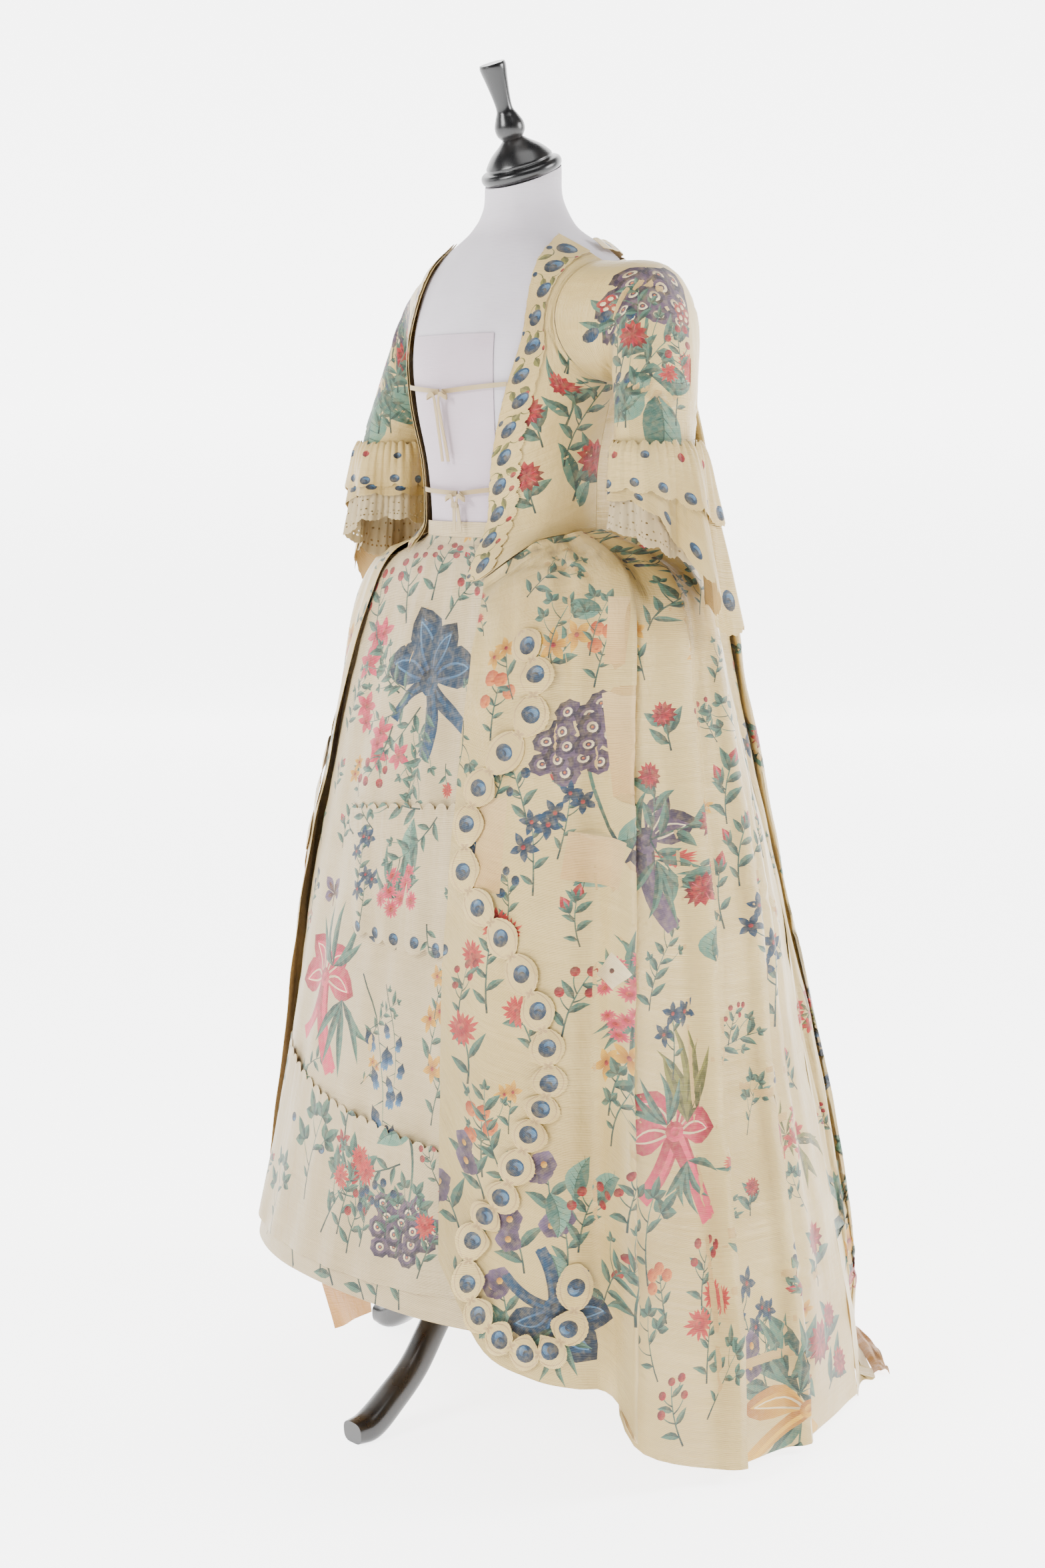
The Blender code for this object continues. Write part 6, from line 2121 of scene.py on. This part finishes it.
# %% [markdown]
# ## Painting and sewing up
#
# Each piece is now painted, cut and made. The sprays are ordinary garden flowers, set out at
# shares of a sheet's width and length.

# %% Sprays on each piece
# piece, then rows of kind, share across, share down, turn clockwise in degrees and size
PAINTED = """
gown_skirt_left
auricula .265 .271 -20 1.18  ribbon_purple .478 .368 0 1.18  carnations .487 .366 0 1.18
carnation .544 .276 -10 1.06  blades .469 .361 -35 .94  blades .496 .386 165 1.06
great .296 .132 -70 .65  orange_berries .093 .281 -5 1.18  orange_berries .283 .211 8 1.06
yellow_stars .181 .214 28 1.18  yellow_stars .137 .229 -30 1.06  yellow_stars .487 .204 -16 .94
blue_stars .19 .453 0 1.18  blue_stars .124 .455 -25 1.06  blue_stars .23 .408 14 1.06
blue_berries .177 .373 -12 1.18  blue_berries .102 .363 20 1.06  blue_berries .142 .498 5 1.06
daisies .111 .6 -12 1.18  daisy .195 .637 -10 1.3  red_berries .239 .607 8 1.18
red_berries .049 .639 -12 .94  pinks .35 .527 8 1.18  pinks .354 .562 190 .94
ivies .204 .182 0 .83  ivies .274 .179 4 .83  rosebuds .265 .505 -20 .94  stain .323 .152 0 1
stain .345 .271 0 1.6  wide_stain .288 .405 0 1  stain .102 .405 0 1.4  diamond .319 .525 0 1
daisy .071 .701 0 1.42  orange_berries .102 .794 -10 1.18  branch .146 .786 -40 .94
purple .106 .818 -20 1.18  purple .053 .898 -24 1.18  purple .217 .816 4 1.18
purple .173 .883 -8 1.18  purple .243 .873 6 1.18  purple .137 .963 0 1.18
great .217 .784 168 .73  great .217 .853 170 .65  great .137 .933 200 .65  great .195 .913 172 .59
great .257 .789 20 .71  great .292 .794 30 .71  great .106 .94 190 .59
red_berries .261 .848 4 1.18  red_berries .341 .796 2 1.06  red_berries .35 .886 0 1.18
ribbon_blue .221 .913 170 .83  blades .221 .933 175 .94  branch .296 .905 10 .94
yellow_stars .314 .687 4 1.18  ivies .319 .719 0 .94  ribbon_pink .509 .659 0 1.24
grass .527 .649 4 1.3  blades .5 .654 -28 1.06  blades .522 .687 168 .94
blue_stars .509 .607 10 1.06  ivies .469 .826 -4 1.18  red_berries .522 .838 2 1.18
daisies .522 .913 2 1.18  red_berries .5 .98 -24 1.18  ivies .522 .95 30 1.06
ivies .478 .92 -20 .94  orange_berries .487 .858 -10 1.06  rosebuds .73 .356 -6 1.18
rosebuds .739 .42 -6 1.18  rosebuds .695 .46 -12 1.18  branch .765 .363 40 .71
blue_stars .889 .575 10 1.42  blue_stars .779 .5 4 .94  coral .885 .687 0 1.42
carnation .704 .754 10 .83  carnation .92 .856 20 1.42  carnations .748 .923 4 1.77
carnation .925 .93 40 1.18  carnation .925 .968 60 1.18  blue_stars .69 .9 -10 1.3
blue_stars .704 .915 10 1.06  blades .735 .935 -20 1.42  blades .757 .945 24 1.42
purple .708 .943 -10 1.42  ribbon_yellow .774 .963 0 1.42  great .584 .488 10 .59
ivies 0 .266 165 .83  buds 0 .582 0 .8  branch .257 0 -6 1.06  blades .226 .01 6 .94

petticoat_front_breadth
ribbon_blue .486 .22 0 1.12  red_berries .444 .116 0 1.42  red_berries .378 .148 -24 1.42
red_berries .502 .139 26 1.18  pink_stars .405 .238 -66 1.06  pink_stars .44 .249 -128 .94
pink_stars .471 .252 -155 .94  red_berries .293 .174 -30 1.3  red_berries .405 .281 190 1.18
branch .49 .252 165 .94  branch .448 .238 -80 .94  daisy .552 .319 180 .71  moth .328 .513 0 1.1
ribbon_pink .359 .62 0 1.24  blades .375 .603 10 1.3  blades .409 .641 170 1.3
bluebells .444 .6 -12 1.36  bluebells .49 .606 -8 .94  yellow_stars .575 .701 0 1.18
yellow_stars .587 .765 4 1.18  yellow_stars .579 .635 4 .94  red_berries .436 .841 -40 .94
ivies .405 .997 -30 1.42  branch .475 .997 -44 1.53  branch .521 1 -40 1.3
daisy .452 .988 -10 1.3  daisies .537 1 -4 1.18  blue_berries .568 .997 -8 1.18
red_berries .405 .994 180 .71  ribbon_pink .8 .34 0 1  red_berries .8 .3 -12 1.2
bluebells .74 .42 6 1  pink_stars .86 .44 30 1  yellow_stars .78 .6 0 1  branch .7 .72 -20 1
auricula .84 .74 176 .9  daisies .74 .86 0 1  ivies .9 .9 10 1  branch .62 .3 -14 1
blue_berries .64 .52 14 1  carnations .9 .6 0 1

applied_flounce_upper
pinks .363 .662 0 1.47  great .461 .431 -10 .83  branch .588 .092 -150 .94
branch .49 .046 -95 1.06  branch .186 .2 -60 .83  blue_berries .039 .246 -60 1.18
blue_stars .078 .631 0 .83  blue_stars .098 .908 0 .83  buds .176 1 0 .8  buds .392 1 0 .8
buds .569 1 0 .8  blue_berries .569 .785 170 1.06  pink_stars .8 .6 0 .8  branch .78 .9 -20 .8
blue_stars .9 .8 10 .8

applied_flounce_lower
red_berries .465 .181 -6 1.18  red_star .551 .569 0 1.3  red_star .47 .361 0 .83
auricula .714 .597 178 1.06  branch .676 .194 -120 1.06  buds .346 .125 0 .7  buds .378 .333 0 .7
buds .216 .292 0 .7  ivies .341 .681 -10 1.3  ivies .427 .819 20 1.42  ivies .205 1 -16 1.06
daisies .497 .778 0 1.18  red_berries .535 .875 0 1.18  blue_berries .578 .806 8 1.06
ivies .7 .8 0 1  daisies .78 .9 10 1  red_star .86 .5 0 1  branch .9 .9 -20 .9
blue_berries .66 .7 0 1

bodice_front_panel_left
carnation .675 .639 18 1.47  carnation .525 .673 -14 1.18  carnation .8 .878 14 1.47
carnation .525 .864 -20 1.18  branch .7 .762 6 1.06  cherries .8 .463 10 1.42
rosebuds .775 .456 20 .94  great .85 .905 30 .47

sleeve_tube_left
auricula .845 .31 0 1.12  great .845 .713 190 1.35  great .775 .598 215 1.2
cherries .659 .195 -10 1.18  cherries .946 .529 12 1.18  blue_berries .674 .483 0 1.06
blue_berries .713 .828 -8 1.06  branch .822 .586 -20 .83  daisies .922 .851 10 .94
carnation .7 .52 0 1  branch .66 .8 10 .8  red_berries .98 .7 -10 1

box_pleated_back
rosebuds .564 .156 4 .94  auricula .3 .33 -8 1  great .27 .4 -60 .8  ribbon_pink .42 .47 0 1.1
grass .42 .46 4 1  blue_stars .36 .26 -10 1  carnations .33 .52 0 1.2  rosebuds .4 .2 12 1.2
rosebuds .46 .3 -14 1.1  red_berries .36 .16 8 1  orange_berries .44 .12 -8 1
daisies .28 .62 -8 1.2  bluebells .38 .58 6 1.1  yellow_stars .46 .64 12 1.1  ivies .34 .7 -10 1.2
pinks .44 .74 0 1.3  branch .39 .38 -30 1  blue_berries .48 .4 18 1.1  purple .28 .78 -8 1.3
coral .4 .84 0 1.2  red_berries .33 .88 14 1.1  blades .28 .8 -10 1.1  blue_stars .47 .9 10 1.2
carnation .2 .45 10 1.2  rosebuds .19 .3 -10 1.1  ivies .21 .58 8 1.1  ribbon_blue .22 .7 0 1.1
red_berries .215 .66 0 1.2  daisies .19 .84 12 1.2  coral .1 .66 -10 1.2  blue_stars .11 .46 8 1.1
carnations .1 .84 0 1.3  blades .1 .85 -14 1.2  yellow_stars .13 .92 0 1.2  rosebuds .11 .28 -8 1
ivies .3 .94 20 1.1  cherries .3 .12 0 1.1  great .31 .2 150 .6  carnation .31 .24 -10 1.1

petticoat_back_breadth
carnations .2 .3 0 1  branch .3 .55 -20 1  daisies .45 .35 10 1  ribbon_pink .6 .5 0 1
bluebells .7 .3 0 1  ivies .8 .6 0 1  red_berries .5 .75 0 1  yellow_stars .3 .8 0 1
blue_stars .85 .4 0 1

bodice_back_panel
carnation .2 .5 0 1  rosebuds .8 .6 0 1  branch .5 .7 0 .8
"""
PAINTED = {
    piece: [(words[k], *map(float, words[k + 1:k + 5])) for k in range(0, len(words), 5)]
    for piece, *words in map(str.split, PAINTED.split("\n\n"))
}


def turned_over(spots):
    """The same sprays on the other half of a piece or on its fellow."""
    return [(kind, 1 - across, down, -turn, size) for kind, across, down, turn, size in spots]


sack_spots = PAINTED["box_pleated_back"]
sack_spots += turned_over(spot for spot in sack_spots if spot[1] < 0.49)
for name in ("gown_skirt_", "bodice_front_panel_", "sleeve_tube_"):
    PAINTED[name + "right"] = turned_over(PAINTED[name + "left"])

FILL = "branch", "red_berries", "ivies", "blue_berries", "rosebuds", "yellow_stars", "branch", "daisy"
FILL_GAP = {
    # metres between the small twigs that fill a piece between its larger sprays
    "gown_skirt_left": 0.074, "gown_skirt_right": 0.078, "box_pleated_back": 0.115,
    "petticoat_front_breadth": 0.076, "petticoat_back_breadth": 0.11, "bodice_back_panel": 0.08,
    "applied_flounce_lower": 0.07,
}


def filled(rng, sheet, spots, gap):
    """Twigs on a jittered lattice, left out where a larger spray lies within 0.8 of a gap."""
    limit = np.array([sheet.width, sheet.length])
    count = np.maximum(1, np.round(limit / gap)).astype(int)
    lattice = np.stack(np.meshgrid(*(np.arange(n) + 0.5 for n in count)), -1).reshape(-1, 2)
    places = lattice / count * limit + rng.uniform(-0.3, 0.3, lattice.shape) * gap
    taken = np.array([spot[1:3] for spot in spots]) * limit
    clear = np.hypot(*np.moveaxis(places[:, None] - taken, -1, 0)).min(1) > 0.8 * gap
    return [(FILL[k % len(FILL)], *(place / limit), rng.uniform(-50, 50), rng.uniform(0.6, 0.85))
            for k, place in enumerate(places[clear])]


def painting_of(name, sheet, seed):
    made = Painting(sheet)
    rng = np.random.default_rng(seed)
    spots = PAINTED.get(name, [])
    small = filled(rng, sheet, spots, FILL_GAP[name]) if name in FILL_GAP else []
    for kind, across, down, turn, size in small + spots:
        made.put(spray(rng, kind), across, down, turn, size)
    return made


# %% Buds, leaves and eyelets
LACE_REPEATS = 14           # patterns round one lace frill


def buds_along(rng, sheet, count, down, size=0.0085, hues=("blue",)):
    """A row of buds across a sheet at this share of its length."""
    made = []
    for k in range(count):
        spot = np.array([(k + 0.5) / count * sheet.width, down * sheet.length])
        made += bud_round(spot + rng.uniform(-0.003, 0.003, 2), size, hues[k % len(hues)])
    return made


def robing_marks(rng, sheet):
    """Thirteen buds down a robing, with small leaves and berries curling between them."""
    made = []
    for k in range(13):
        spot = np.array([sheet.width * rng.uniform(0.36, 0.64), (k + 0.5) / 13 * sheet.length])
        made += bud_round(spot, 0.0110)
        for way in (-1, 1):
            root = spot + (way * 0.006, sheet.length / 26)
            tip = root + polar(way * rng.uniform(30, 140), 0.015)
            made.append(stroke(arc(root, tip, 0.2), 0.0016, "moss"))
            made += leaf(root, root + polar(way * rng.uniform(-60, 60), 0.018), 0.0085, "moss")
            made += berry(rng, tip, 0.0085, "crimson" if way > 0 else "blue")
    return made


def eyelets(sheet, rings, radius):
    """Small round holes in rows that wave with the lace's pattern, each of seven sides."""
    a = np.linspace(0, 2 * pi, 7, endpoint=False)
    circle = np.stack([np.cos(a), np.sin(a)], -1) * radius
    made = []
    for down, count, rise in rings:
        for k in range(count):
            x = (k + 0.5) / count
            y = down + rise * abs(sin(pi * x * LACE_REPEATS))
            made.append(circle + (x * sheet.width, y * sheet.length))
    return made


# %% Make the pieces
SILKS = {
    # slot: the finish outside and the finish inside
    "painted_silk": (GOWN_SILK, LINING),
    "petticoat_silk": (PETTICOAT_SILK, LINING),
    "silk_facing": (FACING_SILK, FACING_SILK),
    "muslin": (MUSLIN, MUSLIN),
    "form_cover": (COVER_GREY, COVER_GREY),
}


def sew(name, sheet, seed, steps, slot, nodes, held, rests_on, edge=None, marks=(), holes=(), **how):
    """Paints a sheet, cuts it to its edge and makes its shell."""
    painting = painting_of(name, sheet, seed)
    if edge is not None:
        painting.keep.append(edge)
    painting.holes += holes
    painting.draw(marks)
    made = shell(name, sheet, painting, steps, SILKS[slot], **how)
    piece(made, slot, *nodes)


marks = np.random.default_rng(77)
SKIRT = "petticoat_silk"
sew("petticoat_front_breadth", front, 1, (0.011, 0.012), SKIRT, ["petticoat_front"], "hung",
    ["covered_form"])
sew("petticoat_back_breadth", back, 2, (0.014, 0.016), SKIRT, ["petticoat_back"], "gathered",
    ["covered_form"])
sew("petticoat_waistband", band, 3, (0.012, 0.007), SKIRT, ["petticoat_band"], "stretched",
    ["covered_form"])
sew("applied_flounce_upper", upper, 4, (0.005, 0.006), SKIRT, ["petticoat_flounce_upper"], "gathered",
    ["petticoat_front_breadth"], pinked(upper, (14, 7), 3, 0.010), buds_along(marks, upper, 7, 0.93))
sew("applied_flounce_lower", lower, 5, (0.005, 0.006), SKIRT, ["petticoat_flounce_lower"], "gathered",
    ["petticoat_front_breadth"], pinked(lower, (24, 0), 3, 0.008))
GOWN = "painted_silk"
EYELETS = (0.50, 42, 0.10), (0.62, 56, 0.12), (0.76, 56, 0.10), (0.88, 84, 0.02)
for side in SIDES:
    skirt, bodice_front, sleeve = (
        start + side for start in ("gown_skirt_", "bodice_front_panel_", "sleeve_tube_")
    )
    trim, robing, lace = trims[side], robings[side], frills["lace_ruffle", side]
    sew(skirt, skirts[side], 10, (0.009, 0.014), GOWN, ["skirt_" + side], "hung", ["petticoat_front_breadth"])
    sew(bodice_front, bodices[side], 12, (0.006, 0.007), GOWN, ["bodice_front_" + side], "stretched",
        ["covered_form"])
    sew("winding_trim_" + side, trim, 14, (0.006, 0.006), GOWN, ["trim_skirt_" + side], "laid", [skirt],
        oval_outline(trim), oval_marks(marks, trim))
    sew("robing_band_" + side, robing, 16, (0.005, 0.006), GOWN, ["robing_" + side], "laid", [bodice_front],
        pinked(robing, (0, 0), 26, 0.0040), robing_marks(marks, robing))
    sew(sleeve, sleeves[side], 18, (0.007, 0.008), GOWN, ["sleeve_" + side], "draped", [bodice_front])
    for name in ("flounce_upper_", "flounce_lower_"):
        cloth = frills[name[:-1], side]
        buds = buds_along(marks, cloth, 12, 0.82, 0.0075)
        buds += buds_along(marks, cloth, 9, 0.30, 0.006, ("crimson", "blue"))
        sew("sleeve_" + name + side, cloth, 20, (0.0035, 0.007), GOWN, [name + side], "gathered", [sleeve],
            pinked(cloth, (26, 13), 0, 0.0080, 0.0016), buds)
    sew("sleeve_lace_" + side, lace, 22, (0.0035, 0.006), "muslin", ["lace_ruffle_" + side], "gathered",
        [sleeve], pinked(lace, (0, LACE_REPEATS), 0, 0.0075, 0.0014), holes=eyelets(lace, EYELETS, 0.0014))
sew("bodice_back_panel", bodice_back, 30, (0.010, 0.010), GOWN, ["bodice_back"], "stretched",
    ["covered_form"])
sew("box_pleated_back", sack, 31, (0.0080, 0.017), GOWN, ["back_sack"], "hung", ["bodice_back_panel"])
sew("neck_trimming", neck_band, 32, (0.005, 0.005), GOWN, ["neck_band"], "laid", ["bodice_back_panel"],
    pinked(neck_band, (18, 18), 0, 0.0030), buds_along(marks, neck_band, 9, 0.5, 0.0055))
for name, step, under in (("petticoat_facing", 0.006, "petticoat_front_breadth"),
                          ("train_hem_facing", 0.004, "box_pleated_back")):
    sew("torn_" + name, facings[name], 40, (0.006, step), "silk_facing", [name], "gathered", [under])
for (name, side), cloth in ties.items():
    sew(f"tape_{name}_{side}", cloth, 42, (0.003, 0.004), "muslin", [f"{name}_{side}"], None, [], out=TAPE)
sew("loose_cover_panel", panel, 44, (0.008, 0.008), "form_cover", [], "laid", ["covered_form"], out=0.0012)
